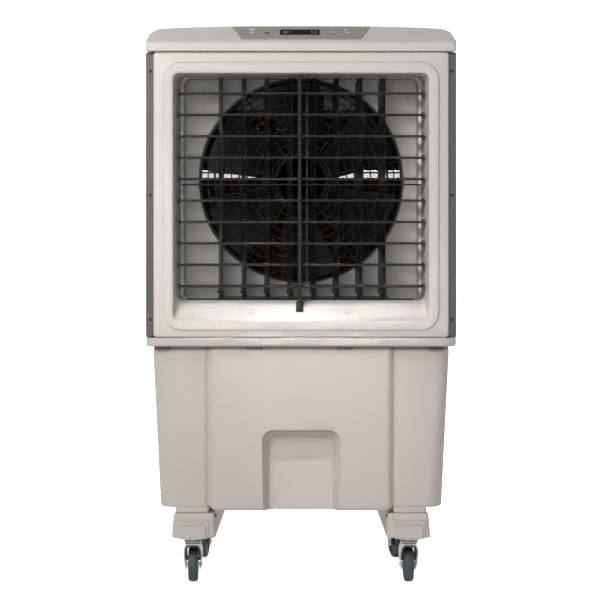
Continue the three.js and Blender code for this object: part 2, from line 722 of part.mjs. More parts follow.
// ---- casters ----
function casterBeam(name, side) {
  const across = (inset) => (
    [side * (BEAM_INNER_X + inset), side * (BEAM_OUTER_X - inset)].sort((a, b) => a - b)
  );
  const along = (inset) => [-BEAM_HALF_LENGTH + inset, BEAM_HALF_LENGTH - inset];
  const section = (inset) => roundedRectangle(across(inset), along(inset), 8, 2);
  const levels = [BEAM_BOTTOM, BEAM_BOTTOM + 3, BEAM_TOP];
  const outer = loft([section(2), section(0), section(4)], levels, ALONG.z);
  const hollow = prism(section(8), 'z', BEAM_BOTTOM + 16, BEAM_TOP + 1);
  const plates = [-1, 1].map((end) => box(
    [side * CASTER_X - 30, side * CASTER_X + 30],
    [end * CASTER_Y - 32, end * CASTER_Y + 32],
    [PLATE_BOTTOM, BEAM_BOTTOM + 1],
  ));
  return mesh(name, joined([outer.subtract(hollow), ...plates]), 'tank');
}

// Fork about its swivel axis, the wheel trailing towards +Y.
function casterFork(name) {
  const legOutline = [[-13, 88], [34, 88], [38, 70], [36, 28], [22, 28], [-10, 78]];
  const body = joined([
    rod('z', 22, 88, FORK_TOP, [0, 0], 16),
    box([-15.6, 15.6], [-13, 34], [84.5, 88.5]),
    prism(legOutline, 'x', -15.6, -13),
    prism(legOutline, 'x', 13, 15.6),
    rod('x', AXLE_RADIUS, -16, 16, [CASTER_TRAIL, WHEEL_RADIUS], 12),
    rod('x', 7, -20, -15, [CASTER_TRAIL, WHEEL_RADIUS], 6),
    rod('x', 7, 15, 20, [CASTER_TRAIL, WHEEL_RADIUS], 6),
  ]);
  return mesh(name, body, 'steel');
}

// The lowest side of the wheel lies flat on the floor.
function casterWheel(name) {
  const halfSide = Math.PI / WHEEL_SIDES;
  const rim = (radius) => circle(radius / Math.cos(halfSide), WHEEL_SIDES, [0, 0], halfSide - Math.PI / 2);
  const width = WHEEL_HALF_WIDTH;
  const tyre = loft(
    [rim(WHEEL_RADIUS - 2.5), rim(WHEEL_RADIUS), rim(WHEEL_RADIUS), rim(WHEEL_RADIUS - 2.5)],
    [-width, -width + 2.5, width - 2.5, width],
    ALONG.x,
  );
  const bore = rod('x', AXLE_RADIUS + GAP, -width - 1, width + 1, [0, 0], 12);
  return placed(mesh(name, tyre.subtract(bore), 'tread'), 0, CASTER_TRAIL, WHEEL_RADIUS);
}

// One caster as a group at its swivel axis, turned to the way it was left standing.
function caster(place, sideX, sideY, yawDegrees) {
  const group = new THREE.Group();
  group.name = `caster_${place}`;
  group.add(casterFork(`fork_${place}`), casterWheel(`wheel_${place}`));
  group.position.set(sideX * CASTER_X, sideY * CASTER_Y, 0);
  group.rotation.z = THREE.MathUtils.degToRad(yawDegrees);
  return group;
}

// ---- assembly ----
function numbered(count, make) {
  return Array.from({ length: count }, (_, i) => make(i + 1));
}

const cooler = new THREE.Group();
cooler.name = 'evaporative_cooler';
cooler.add(tank(), drainCap(), inletValve(), floatArm(), pump(), baseFrame());
cooler.add(frontPanel(), rearFrame(), rearGrille());
cooler.add(sideGrille('side_grille_left', -1), sideGrille('side_grille_right', 1));
cooler.add(lid(), controlPanel(), ...numbered(KEY_X.length, key));
cooler.add(centreSupport(), ...numbered(LOUVRE_COUNT, louvre), louvreLink());
cooler.add(...numbered(VANE_COUNT, vane), vaneLink(), swingMotor());
cooler.add(fanDeck(), fanGuard(), fanRotor(), fanMotor(), motorBracket());
cooler.add(sidePad('pad_left', -1), sidePad('pad_right', 1), rearPad(), waterDistributor());
cooler.add(casterBeam('caster_beam_left', -1), casterBeam('caster_beam_right', 1));
cooler.add(caster('front_left', -1, -1, 2), caster('front_right', 1, -1, 0));
cooler.add(caster('rear_left', -1, 1, -4), caster('rear_right', 1, 1, 15));

export default cooler;
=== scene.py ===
"""Looks of a portable evaporative cooler: casings, louvres, fan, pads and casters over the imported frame.

Lengths are in millimetres in the frame's own axes until piece() turns them into metres.
"""

import json
from math import atan2, cos, exp, pi, radians, sin, sqrt

import bmesh
import bpy
from mathutils import Matrix, Vector


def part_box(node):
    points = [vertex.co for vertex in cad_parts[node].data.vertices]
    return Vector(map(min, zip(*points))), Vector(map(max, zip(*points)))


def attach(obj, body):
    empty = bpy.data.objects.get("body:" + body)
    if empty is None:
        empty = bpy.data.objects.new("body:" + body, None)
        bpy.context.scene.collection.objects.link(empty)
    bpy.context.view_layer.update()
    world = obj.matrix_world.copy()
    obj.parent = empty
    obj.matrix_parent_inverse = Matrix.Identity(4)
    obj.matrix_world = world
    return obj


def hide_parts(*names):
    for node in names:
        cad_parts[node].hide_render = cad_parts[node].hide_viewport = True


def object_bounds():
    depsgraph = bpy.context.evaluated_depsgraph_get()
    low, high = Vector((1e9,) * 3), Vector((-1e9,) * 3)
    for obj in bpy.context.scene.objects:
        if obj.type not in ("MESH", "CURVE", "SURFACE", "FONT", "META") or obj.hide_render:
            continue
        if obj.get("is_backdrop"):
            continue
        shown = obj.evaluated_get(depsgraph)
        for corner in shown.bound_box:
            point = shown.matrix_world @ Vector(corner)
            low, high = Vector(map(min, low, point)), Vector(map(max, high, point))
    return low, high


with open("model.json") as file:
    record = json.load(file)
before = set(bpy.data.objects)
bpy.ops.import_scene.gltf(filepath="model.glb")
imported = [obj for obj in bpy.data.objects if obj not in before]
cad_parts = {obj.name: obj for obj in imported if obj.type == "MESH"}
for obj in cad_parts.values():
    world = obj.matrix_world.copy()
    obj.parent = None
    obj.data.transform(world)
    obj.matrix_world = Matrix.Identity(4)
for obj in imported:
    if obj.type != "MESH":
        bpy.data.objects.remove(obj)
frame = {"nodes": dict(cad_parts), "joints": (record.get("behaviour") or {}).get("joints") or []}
cad_lo, cad_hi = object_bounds()

MM = 0.001
JOINTS = {joint["name"]: joint for joint in frame["joints"]}


# ---- places read from the frame ----
def box_mm(node):
    lo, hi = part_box(node)
    return lo / MM, hi / MM


def pivot_mm(joint):
    return Vector(JOINTS[joint]["pos_m"]) / MM


def in_scene(name, data):
    obj = bpy.data.objects.new(name, data)
    bpy.context.collection.objects.link(obj)
    return obj


# ---- materials ----
MATERIALS = {}


def set_inputs(node, values):
    for name, value in values.items():
        node.inputs[name].default_value = value


def finish(
    name, colour, roughness, metallic=0.0, tint=0.05, grain=900.0, bump=0.05,
    wear=0.08, coat=0.0, specular=0.5,
):
    """A procedural surface: slow colour drift, patchy gloss and a fine moulded or ground grain."""
    material = bpy.data.materials.new(name)
    material.use_nodes = True
    nodes, links = material.node_tree.nodes, material.node_tree.links
    shader = nodes["Principled BSDF"]
    set_inputs(shader, {"Specular IOR Level": specular, "Metallic": metallic})
    set_inputs(shader, {"Coat Weight": coat, "Coat Roughness": 0.2})
    place = nodes.new("ShaderNodeTexCoord")

    def noise(scale, detail):
        pattern = nodes.new("ShaderNodeTexNoise")
        set_inputs(pattern, {"Scale": scale, "Detail": detail})
        links.new(place.outputs["Object"], pattern.inputs["Vector"])
        return pattern.outputs["Fac"]

    shades = nodes.new("ShaderNodeMix")
    shades.data_type = "RGBA"
    shades.inputs["A"].default_value = (*[c * (1 - tint) for c in colour], 1)
    shades.inputs["B"].default_value = (*[min(1.0, c * (1 + tint)) for c in colour], 1)
    links.new(noise(5.0, 5.0), shades.inputs["Factor"])
    links.new(shades.outputs["Result"], shader.inputs["Base Color"])

    gloss = nodes.new("ShaderNodeMapRange")
    set_inputs(gloss, {"To Min": max(0.03, roughness - wear), "To Max": min(1.0, roughness + wear)})
    links.new(noise(38.0, 6.0), gloss.inputs["Value"])
    links.new(gloss.outputs["Result"], shader.inputs["Roughness"])

    relief = nodes.new("ShaderNodeBump")
    set_inputs(relief, {"Strength": bump, "Distance": 0.0004})
    links.new(noise(grain, 2.0), relief.inputs["Height"])
    links.new(relief.outputs["Normal"], shader.inputs["Normal"])
    MATERIALS[name] = material


finish("shell", (0.61, 0.578, 0.547), 0.38, bump=0.08, tint=0.02)
finish("tank_plastic", (0.52, 0.475, 0.445), 0.5, bump=0.1, tint=0.03)
finish("grille_plastic", (0.105, 0.098, 0.09), 0.5, bump=0.12)
finish("blade_plastic", (0.046, 0.043, 0.038), 0.36, bump=0.08, tint=0.1, specular=0.35)
finish("fan_plastic", (0.055, 0.052, 0.047), 0.34, bump=0.05, tint=0.2)
finish("panel_plastic", (0.32, 0.3, 0.281), 0.35, coat=0.3, bump=0.04)
finish("key_plastic", (0.3, 0.282, 0.265), 0.4, bump=0.03)
finish("rim_plastic", (0.53, 0.497, 0.468), 0.6, bump=0.08, tint=0.02, specular=0.3)
# tank plastic darkened to paint the shadow that falls under the rim
finish("rim_shade", (0.24, 0.222, 0.208), 0.6, bump=0.08)
finish("post_plastic", (0.03, 0.028, 0.025), 0.5, bump=0.08, tint=0.1, specular=0.1)
finish("deck_plastic", (0.88, 0.84, 0.8), 0.5, bump=0.08)
finish("white_plastic", (0.86, 0.825, 0.79), 0.45, bump=0.08)
finish("pad_cellulose", (0.16, 0.085, 0.035), 0.9, tint=0.35, grain=400.0, bump=0.5)
finish("steel", (0.62, 0.61, 0.6), 0.16, metallic=1.0, tint=0.03, grain=300.0, bump=0.02)
# zinc plate whose pale, half-diffuse colour also paints the bright sheen on the fork and the race
finish("zinc", (0.8, 0.79, 0.77), 0.3, metallic=0.35, tint=0.03, grain=300.0, bump=0.02)
finish("bracket_steel", (0.06, 0.058, 0.055), 0.5, metallic=0.2, grain=500.0, bump=0.1)
finish("motor_casing", (0.035, 0.035, 0.035), 0.4, metallic=0.5, grain=500.0, bump=0.1)
finish("brass", (0.6, 0.42, 0.16), 0.28, metallic=1.0, grain=400.0, bump=0.05)
finish("tread", (0.052, 0.07, 0.079), 0.5, tint=0.12, grain=700.0, bump=0.25)
finish("hub", (0.02, 0.03, 0.03), 0.45, tint=0.15)
finish("shadow_gap", (0.02, 0.019, 0.018), 0.7)
finish("display_glass", (0.008, 0.008, 0.01), 0.25, bump=0.0, wear=0.02)
finish("print_light", (0.72, 0.72, 0.7), 0.5, bump=0.02)
finish("print_grey", (0.2, 0.2, 0.19), 0.5, bump=0.02)
finish("floor", (0.9, 0.9, 0.9), 0.6, tint=0.01, bump=0.02)

# the record's slot for each finish that isn't a slot itself
SLOTS = {
    "display_glass": "panel_plastic", "print_light": "key_plastic", "print_grey": "key_plastic",
    "hub": "tread", "shadow_gap": "grille_plastic", "post_plastic": "blade_plastic", "zinc": "steel",
    "rim_plastic": "shell", "rim_shade": "tank_plastic", "deck_plastic": "white_plastic",
}


# ---- mesh work ----
def metric_mesh(name, verts, faces):
    mesh = bpy.data.meshes.new(name)
    mesh.from_pydata([tuple(c * MM for c in v) for v in verts], [], faces)
    return mesh


def piece(name, verts, faces, material, body="body", stands_for=(), slot=None, sharp=35.0, bevel=0.0):
    """A visible piece from points in millimetres; it rides on one body of the frame."""
    mesh = metric_mesh(name, verts, faces)
    mesh.validate()
    mesh.materials.append(MATERIALS[material])
    mesh.polygons.foreach_set("use_smooth", [True] * len(mesh.polygons))
    mesh.set_sharp_from_angle(angle=radians(sharp))
    obj = in_scene(name, mesh)
    fix_normals(mesh)
    if bevel:
        soften(obj, bevel)
    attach(obj, body)
    if stands_for:
        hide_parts(*stands_for)
    slot or SLOTS.get(material, material)
    return obj


def fix_normals(mesh):
    work = bmesh.new()
    work.from_mesh(mesh)
    bmesh.ops.recalc_face_normals(work, faces=work.faces)
    work.to_mesh(mesh)
    work.free()


def soften(obj, width, segments=2, angle=30.0):
    """Rounds the sharp edges, as a mould or a press leaves them."""
    edge = obj.modifiers.new("rounded_edges", "BEVEL")
    edge.width = width * MM
    edge.segments = segments
    edge.limit_method = "ANGLE"
    edge.angle_limit = radians(angle)
    edge.harden_normals = True
    edge.miter_outer = "MITER_ARC"


def joined(*shapes):
    """Several (verts, faces) shapes as one."""
    verts, faces = [], []
    for shape_verts, shape_faces in shapes:
        start = len(verts)
        verts += shape_verts
        faces += [tuple(start + i for i in face) for face in shape_faces]
    return verts, faces


def moved(shape, matrix):
    verts, faces = shape
    return [tuple(matrix @ Vector(v)) for v in verts], faces


def loft(rings, closed=False):
    """Skins rings with equal point counts; the ends are capped unless the rings close on themselves."""
    count = len(rings[0])
    verts = [p for ring in rings for p in ring]
    faces = []
    last = len(rings) if closed else len(rings) - 1
    for k in range(last):
        a, b = k * count, ((k + 1) % len(rings)) * count
        for i in range(count):
            j = (i + 1) % count
            faces.append((a + i, a + j, b + j, b + i))
    if not closed:
        faces.append(tuple(range(count - 1, -1, -1)))
        faces.append(tuple((len(rings) - 1) * count + i for i in range(count)))
    return verts, faces


def ring_at(points, level, axis="z"):
    """A flat outline set at one level along an axis."""
    if axis == "x":
        return [(level, u, v) for u, v in points]
    if axis == "y":
        return [(u, level, v) for u, v in points]
    return [(u, v, level) for u, v in points]


def prism(points, levels, axis="z"):
    return loft([ring_at(points, level, axis) for level in levels])


def box(x, y, z):
    """A plain block between (low, high) pairs."""
    return prism([(x[0], y[0]), (x[1], y[0]), (x[1], y[1]), (x[0], y[1])], z)


def polar(radius, angle):
    return radius * cos(angle), radius * sin(angle)


def turned(profile, sides=48, axis="z", centre=(0, 0, 0), closed=False):
    """A body of revolution from (radius, height) points about an axis through the centre."""
    rings = []
    for radius, height in profile:
        ring = []
        for i in range(sides):
            u, v = polar(radius, 2 * pi * i / sides)
            point = {"x": (height, u, v), "y": (u, height, v), "z": (u, v, height)}[axis]
            ring.append(tuple(p + c for p, c in zip(point, centre)))
        rings.append(ring)
    return loft(rings, closed)


def rounded(x, z, radius, steps=8):
    """Points round a rectangle with rounded corners, counter-clockwise from its right side."""
    points = []
    corners = ((x[1], z[1], 1, 1), (x[0], z[1], -1, 1), (x[0], z[0], -1, -1), (x[1], z[0], 1, -1))
    for quarter, (cx, cz, sx, sz) in enumerate(corners):
        for i in range(steps + 1):
            u, v = polar(radius, (quarter + i / steps) * pi / 2)
            points.append((cx - sx * radius + u, cz - sz * radius + v))
    return points


def smoothstep(t):
    t = min(1.0, max(0.0, t))
    return t * t * (3 - 2 * t)


def smoothstep_pair(value, start, end):
    return smoothstep((value - start) / (end - start))


def blend(a, b, t):
    return a + (b - a) * t


def fillet(start, corner, end, steps=6):
    """Points that round the corner between two profile points."""
    points = []
    for i in range(steps + 1):
        t = i / steps
        parts = zip(start, corner, end)
        points.append(tuple(blend(blend(s, c, t), blend(c, e, t), t) for s, c, e in parts))
    return points


def screw(name, centre, normal, radius, material="steel"):
    """A pan-head screw with a round drive recess."""
    r = radius
    head = [(0.02, -0.6), (r, -0.6), (r, 0.5), (r * 0.86, 1.1), (r * 0.5, 1.4)]
    recess = [(r * 0.45, 1.4), (r * 0.4, 0.5), (0.02, 0.5)]
    turn = Vector((0, 0, 1)).rotation_difference(Vector(normal)).to_matrix().to_4x4()
    shape = moved(turned(head + recess, 24), Matrix.Translation(Vector(centre)) @ turn)
    piece(name, *shape, material)


def panel_ring(half_width, low, high, radius, y):
    """An upright rounded outline about the middle plane."""
    return ring_at(rounded((-half_width, half_width), (low, high), radius), y, "y")


def casing_ring(lo, hi, inset, y):
    """The outer edge of the front panel or the rear frame, drawn in by an inset."""
    return panel_ring(hi.x - inset, lo.z + inset, hi.z - inset, max(8 - inset, 3), y)


# ---- front panel: one moulding from its return edge, over the bezel and down the outlet tunnel ----
BEZEL_HALF_WIDTH, BEZEL_LOW, BEZEL_HIGH, BEZEL_CORNER = 292.4, 548.6, 1117.3, 38
MOUTH_HALF_WIDTH, MOUTH_LOW, MOUTH_HIGH, MOUTH_CORNER = 271.2, 571, 1094.2, 13
# the sill climbs behind the mouth; the tunnel narrows and its ceiling climbs all the way to its rear
SILL_RISE, SILL_RUN = 42, 55
TUNNEL_LENGTH, TUNNEL_NARROWING, CEILING_RISE = 163, 14.2, 10.8


def front_panel():
    lo, hi = box_mm("front_panel")
    bezel_y, face_y, rear_y = lo.y, lo.y + 4, hi.y
    return_y = face_y + 23
    outer = lambda inset, y: casing_ring(lo, hi, inset, y)
    bezel = lambda inset, y: panel_ring(
        BEZEL_HALF_WIDTH - inset, BEZEL_LOW + inset, BEZEL_HIGH - inset, BEZEL_CORNER - inset, y
    )
    mouth = lambda grow, y: panel_ring(
        MOUTH_HALF_WIDTH + grow, MOUTH_LOW - grow, MOUTH_HIGH + grow, MOUTH_CORNER + grow, y
    )

    def tunnel(depth, grow=0.0):
        """The outlet's section at a depth behind the bezel."""
        sill = smoothstep_pair(depth, SILL_RUN - 3, SILL_RUN + 3)
        share = min(depth / SILL_RUN, 1.0)
        floor = blend(MOUTH_LOW + SILL_RISE * share, MOUTH_LOW + SILL_RISE, sill)
        half_width = MOUTH_HALF_WIDTH - TUNNEL_NARROWING * depth / TUNNEL_LENGTH
        ceiling = MOUTH_HIGH + CEILING_RISE * depth / TUNNEL_LENGTH
        y = bezel_y + depth
        return panel_ring(half_width + grow, floor - grow, ceiling + grow, MOUTH_CORNER + grow, y)

    rings = [outer(0, return_y), outer(0, face_y + 4), outer(0.6, face_y + 1.6)]
    rings += [outer(1.7, face_y + 0.5), outer(4, face_y)]
    rings += [bezel(-2.4, face_y), bezel(-1.0, face_y - 0.3), bezel(-0.3, face_y - 1.0)]
    rings += [bezel(0, face_y - 2.0), bezel(0.5, bezel_y + 0.9), bezel(1.6, bezel_y + 0.2)]
    rings.append(bezel(3.2, bezel_y))
    rings += [mouth(4.5, bezel_y), mouth(2.0, bezel_y + 0.4)]
    rings += [mouth(0.7, bezel_y + 1.6), mouth(0, bezel_y + 4)]
    rings += [tunnel(depth) for depth in (8, 20, 32, 44, 50, 53, 56, 60, 80, 110, 140, 160)]
    rings += [tunnel(rear_y - bezel_y), tunnel(rear_y - bezel_y, 4), tunnel(60, 4), tunnel(50, 4)]
    rings += [mouth(4, bezel_y + 8), outer(4, face_y + 4), outer(4, return_y)]
    piece("front_panel_moulding", *loft(rings, closed=True), "shell", stands_for=("front_panel",), sharp=50)
    # a lip round the tunnel behind the mouth, in the deck's whiter plastic instead of the shell: its lighter
    # colour paints the light falling on its front
    lip = lambda grow, depth: panel_ring(256 + grow, 611 - grow, 1099 + grow, 20 + grow, bezel_y + depth)
    lip_rings = [lip(8, 96), lip(2, 96.2), lip(0.6, 97), lip(0, 98.6)]
    lip_rings += [lip(0, 105.4), lip(0.6, 107), lip(2, 107.8), lip(8, 108)]
    piece("outlet_lip_painted_light", *loft(lip_rings, closed=True), "deck_plastic", sharp=50)
    mark = turned([(0.02, 0), (8, 0), (8, 0.9), (7, 1.7), (5.6, 1.7), (4.8, 0.9), (0.02, 0.9)], 40)
    slope = Matrix.Rotation(atan2(SILL_RISE, SILL_RUN), 4, "X")
    mark_depth = 22
    for side, x in (("left", -104), ("right", 99)):
        z = MOUTH_LOW + SILL_RISE * mark_depth / SILL_RUN + 0.1
        place = Matrix.Translation((x, bezel_y + mark_depth, z))
        piece(f"sill_mark_{side}", *moved(mark, place @ slope), "shell")


def rear_frame():
    lo, hi = box_mm("rear_frame")
    grille_lo, grille_hi = box_mm("rear_grille")
    face_y, return_y = hi.y, lo.y
    outer = lambda inset, y: casing_ring(lo, hi, inset, y)
    mouth = lambda grow, y: panel_ring(
        grille_hi.x + 0.4 + grow, grille_lo.z - 0.4 - grow, grille_hi.z + 0.4 + grow, 10 + grow, y
    )
    rings = [outer(0, return_y), outer(0, face_y - 4), outer(0.6, face_y - 1.6)]
    rings += [outer(1.7, face_y - 0.5), outer(4, face_y)]
    rings += [outer(20, face_y), outer(22, face_y - 1.5), outer(26, face_y - 1.5), outer(28, face_y)]
    rings += [mouth(3, face_y), mouth(1, face_y - 0.5), mouth(0, face_y - 2)]
    rings += [mouth(0, face_y - 4), outer(4, face_y - 4), outer(4, return_y)]
    piece("rear_frame_moulding", *loft(rings, closed=True), "shell", stands_for=("rear_frame",), sharp=50)
    for side, x in (("l", 36 - hi.x), ("r", hi.x - 36)):
        for z in (lo.z + 18, (lo.z + hi.z) / 2, hi.z - 18):
            screw(f"rear_screw_{side}_{round(z)}", (x, face_y, z), (0, 1, 0), 4)


# ---- grilles ----
def slat_panel(across, levels, section, tilt):
    """Tilted slats between two ends; the section is (depth, thickness)."""
    half_depth, half_thick = section[0] / 2, section[1] / 2
    flat = half_depth * 0.6
    corners = [(-half_depth, 0), (-flat, -half_thick), (flat, -half_thick)]
    corners += [(half_depth, 0), (flat, half_thick), (-flat, half_thick)]
    shapes = []
    for level in levels:
        points = []
        for d, t in corners:
            y = d * cos(tilt) - t * sin(tilt)
            points.append((y, level + d * sin(tilt) + t * cos(tilt)))
        shapes.append(prism(points, across, "x"))
    return joined(*shapes)


def evenly(low, high, pitch):
    count = max(1, round((high - low) / pitch))
    return [low + (high - low) * (i + 0.5) / count for i in range(count)]


SLAT_PITCH, SLAT_THICKNESS, SLAT_TILT = 15.5, 2.6, radians(-38)
SIDE_CLIP_HEIGHTS = (1099, 836, 571)


def grille(width, low, high, depth, border, ribs):
    """A moulded grille facing -Y about its own middle: frame, tilted slats and upright ribs behind them."""
    frame_ring = lambda inset, y, r: ring_at(
        rounded((-width / 2 + inset, width / 2 - inset), (low + inset, high - inset), r, 4), y, "y"
    )
    half = depth / 2
    rings = [frame_ring(0, half, 5), frame_ring(0, -half + 1.5, 5), frame_ring(1.5, -half, 4)]
    rings += [frame_ring(border - 2, -half, 4), frame_ring(border, -half + 2, 3)]
    rings.append(frame_ring(border, half, 3))
    body = [loft(rings, closed=True)]
    inner = (-width / 2 + border - 1, width / 2 - border + 1)
    levels = evenly(low + border, high - border, SLAT_PITCH)
    body.append(slat_panel(inner, levels, (depth * 0.95, SLAT_THICKNESS), SLAT_TILT))
    for x in evenly(inner[0], inner[1], (inner[1] - inner[0]) / ribs):
        up = (low + border - 1, high - border + 1)
        body.append(box((x - 1.5, x + 1.5), (-half + 2.5, half - 0.5), up))
    return joined(*body)


def side_grilles():
    for side, sign in (("left", -1), ("right", 1)):
        lo, hi = box_mm(f"side_grille_{side}")
        shape = grille(hi.y - lo.y, lo.z, hi.z, hi.x - lo.x, border=20, ribs=6)
        place = Matrix.Translation(((lo.x + hi.x) / 2, 0, 0)) @ Matrix.Rotation(sign * pi / 2, 4, "Z")
        piece(f"side_grille_{side}_moulding", *moved(shape, place), "grille_plastic",
              stands_for=(f"side_grille_{side}",), bevel=0.4)
        for z in (lo.z + 14, (lo.z + hi.z) / 2, hi.z - 14):
            for y in (lo.y + 9, hi.y - 9):
                face = hi.x if sign > 0 else lo.x
                name = f"side_screw_{side}_{round(z)}_{'f' if y < 0 else 'b'}"
                screw(name, (face - sign * 0.4, y, z), (sign, 0, 0), 3.4)
        for z in SIDE_CLIP_HEIGHTS:
            name = f"side_clip_{side}_{z}"
            clip = box(sorted((sign * 317, sign * 323)), (lo.y - 1.2, lo.y + 4), (z - 3, z + 3))
            piece(name, *clip, "shadow_gap", slot="grille_plastic", bevel=0.5)


def rear_grille():
    lo, hi = box_mm("rear_grille")
    shape = grille(hi.x - lo.x, lo.z, hi.z, hi.y - lo.y, border=14, ribs=8)
    place = Matrix.Translation((0, (lo.y + hi.y) / 2, 0)) @ Matrix.Rotation(pi, 4, "Z")
    piece("rear_grille_moulding", *moved(shape, place), "grille_plastic",
          stands_for=("rear_grille",), bevel=0.4)


# ---- lid ----
LID_RISE = 2.5  # how far the crowned top stands above the frame's lid
LID_CROWN = 9.0  # how far the top falls from its middle to its sides
LID_END_REACH, LID_END_DROP = 40, 27  # the rounding at each side: its width and its fall
LID_PLAN_CORNER = 9
SLOPE_Z, SLOPE_RUN = 1159, 45  # where the sloping strip starts, and how far back it runs


def lid_profile(front, rear, low, top):
    """The lid's side outline as (y, z) points, from its front lower edge over the top to the rear."""
    slope_top = front + SLOPE_RUN
    climb = (top - SLOPE_Z) / SLOPE_RUN
    points = [(front + 1.5, low), (front, low + 1.5)]
    points += fillet((front, SLOPE_Z - 5), (front, SLOPE_Z), (front + 4, SLOPE_Z + 4 * climb))
    points += fillet((slope_top - 3, top - 3 * climb), (slope_top, top), (slope_top + 5, top))
    points += [(blend(slope_top + 12, rear - 60, i / 6), top) for i in range(1, 6)]
    points += fillet((rear - 60, top), (rear - 2, top), (rear, low + 18), 12)
    points += [(rear, low + 1.5), (rear - 1.5, low)]
    return points


def filled(edge, along):
    """The rounded outline with extra points on its two long sides, in walking order."""
    front, back = along
    centre = sum(v for _, v in edge) / len(edge)
    return sorted([*edge, *front, *back], key=lambda q: atan2(q[1] - centre, q[0]))


def lid():
    lo, hi = box_mm("lid")
    top = hi.z + LID_RISE
    profile = lid_profile(lo.y, hi.y, lo.z, top)
    half, reach, plan = hi.x, LID_END_REACH, LID_PLAN_CORNER
    crown_top = lambda u: top - LID_CROWN * (u / half) ** 2
    stations = [half - reach + reach * sin(pi / 2 * i / 14) for i in range(15)]
    stations += [half - 2, half - 0.6, half - 60, 240, 200, 160, 120, 80, 40]
    stations = sorted({round(s * sign, 4) for s in stations for sign in (-1, 1)})
    rings = []
    for x in stations:
        over = max(0.0, abs(x) - (half - reach)) / reach
        ceiling = crown_top(x) - LID_END_DROP + LID_END_DROP * max(0.0, 1 - over**2.5) ** 0.4
        beyond = max(0.0, abs(x) - (half - plan))
        pull = plan - sqrt(max(0.0, plan**2 - beyond**2))
        ring = [(x, max(lo.y + pull, min(hi.y - pull, y)), min(z, ceiling)) for y, z in profile]
        hollow = [(hi.y - plan - 2, lo.z), (hi.y - plan - 4, lo.z + 8), (lo.y + plan + 4, lo.z + 8)]
        rings.append(ring + ring_at([*hollow, (lo.y + plan + 2, lo.z)], x, "x"))
    piece("lid_moulding", *loft(rings), "shell", stands_for=("lid",), sharp=32)

    def frame_ring(inset, above):
        front, back = -110 + inset, 140 - inset
        edge = rounded((-250 + inset, 250 - inset), (front, back), 26 - inset, 8)
        along = [(u, front) for u in range(-200, 201, 40)], [(u, back) for u in range(200, -201, -40)]
        return [(u, v, crown_top(u) + above) for u, v in filled(edge, along)]

    bead = [frame_ring(0, -1), frame_ring(1.2, 1.6), frame_ring(4.8, 1.6), frame_ring(6, -1)]
    piece("lid_top_bead", *loft(bead, closed=True), "shell", sharp=60)


# ---- control strip ----
def on_slope(front, top):
    """A matrix whose x runs across the slope, y up it and z out of it, from the slope's middle."""
    angle = atan2(top - SLOPE_Z, SLOPE_RUN)
    middle = Matrix.Translation((0, front + SLOPE_RUN / 2, (SLOPE_Z + top) / 2))
    return middle @ Matrix.Rotation(angle, 4, "X")


def control_strip():
    lid_lo, lid_hi = box_mm("lid")
    place = on_slope(lid_lo.y, lid_hi.z + LID_RISE)
    face, key_face = 2.0, 3.35
    plate = [(-126, -22.5), (126, -22.5), (147, 23), (-147, 23)]
    inner = [(-121, -20.5), (121, -20.5), (139.5, 20.5), (-139.5, 20.5)]
    rings = [ring_at(plate, 0.3), ring_at(plate, face - 0.4)]
    rings += [[(u * 0.996, v * 0.98, face) for u, v in plate], ring_at(inner, face)]
    rings.append([(u * 0.995, v * 0.97, face - 0.5) for u, v in inner])
    piece("control_plate", *moved(loft(rings), place), "panel_plastic",
          stands_for=("control_panel",), sharp=25)
    screen = prism(rounded((-45, 40), (-7, 12), 2.5, 5), (face - 0.6, face + 0.5))
    piece("display_window", *moved(screen, place), "display_glass", bevel=0.3)
    # the lit bars on the display: (x, up, width, height)
    glyphs = [(-38, -3, 3.6, 9), (-33, -3, 3.6, 9), (-26, 3.5, 5, 1.4), (-26, -0.5, 5, 1.4),
              (22, -3, 2.2, 10), (27, -3, 7, 1.4), (27, 1.2, 7, 1.4), (27, 5.4, 7, 1.4)]
    for number, (u, v, wide, tall) in enumerate(glyphs):
        shape = box((u, u + wide), (v, v + tall), (face + 0.4, face + 0.62))
        piece(f"display_segment_{number}", *moved(shape, place), "print_grey")
    for number in range(1, 5):
        soften(painted(f"button_{number}", "key_plastic"), 0.5)
    # printed on the plate and on the keys' caps: (x, up, width, height, key or 0); key 2 has a dark mark
    marks = [(-105, 13, 12.5, 4.6, 0), (-105, -0.6, 8.5, 1.7, 1), (-105, -3.8, 8.5, 1.7, 1),
             (-73, -2, 9, 2.8, 2), (63.8, 0.5, 3.4, 3.4, 3), (70.2, 0.5, 3.4, 3.4, 3),
             (95, 12, 8, 3, 0), (98, -2.4, 9.4, 2.4, 4)]
    for number, (u, v, wide, tall, key) in enumerate(marks):
        level = key_face if key else face - 0.6
        x, y = (u - wide / 2, u + wide / 2), (v - tall / 2, v + tall / 2)
        shape = prism(rounded(x, y, min(wide, tall) * 0.48, 5), (level, level + 0.25))
        look = "display_glass" if key == 2 else "print_light"
        piece(f"printed_mark_{number}", *moved(shape, place), look, f"key_{key}" if key else "body")


# ---- tank ----
TANK_FOOT, TANK_BOTTOM, TANK_NECK = 164, 170, 507.6
TANK_LOW_HALF_WIDTH, TANK_LOW_HALF_DEPTH, TANK_HIGH_HALF_DEPTH, TANK_CORNER = 302, 184, 197, 30
PROUD, STEP_IN, STEP_OUT = 8, 183, 199  # the middle of each long side stands proud between two steps
RECESS_BACK = -168


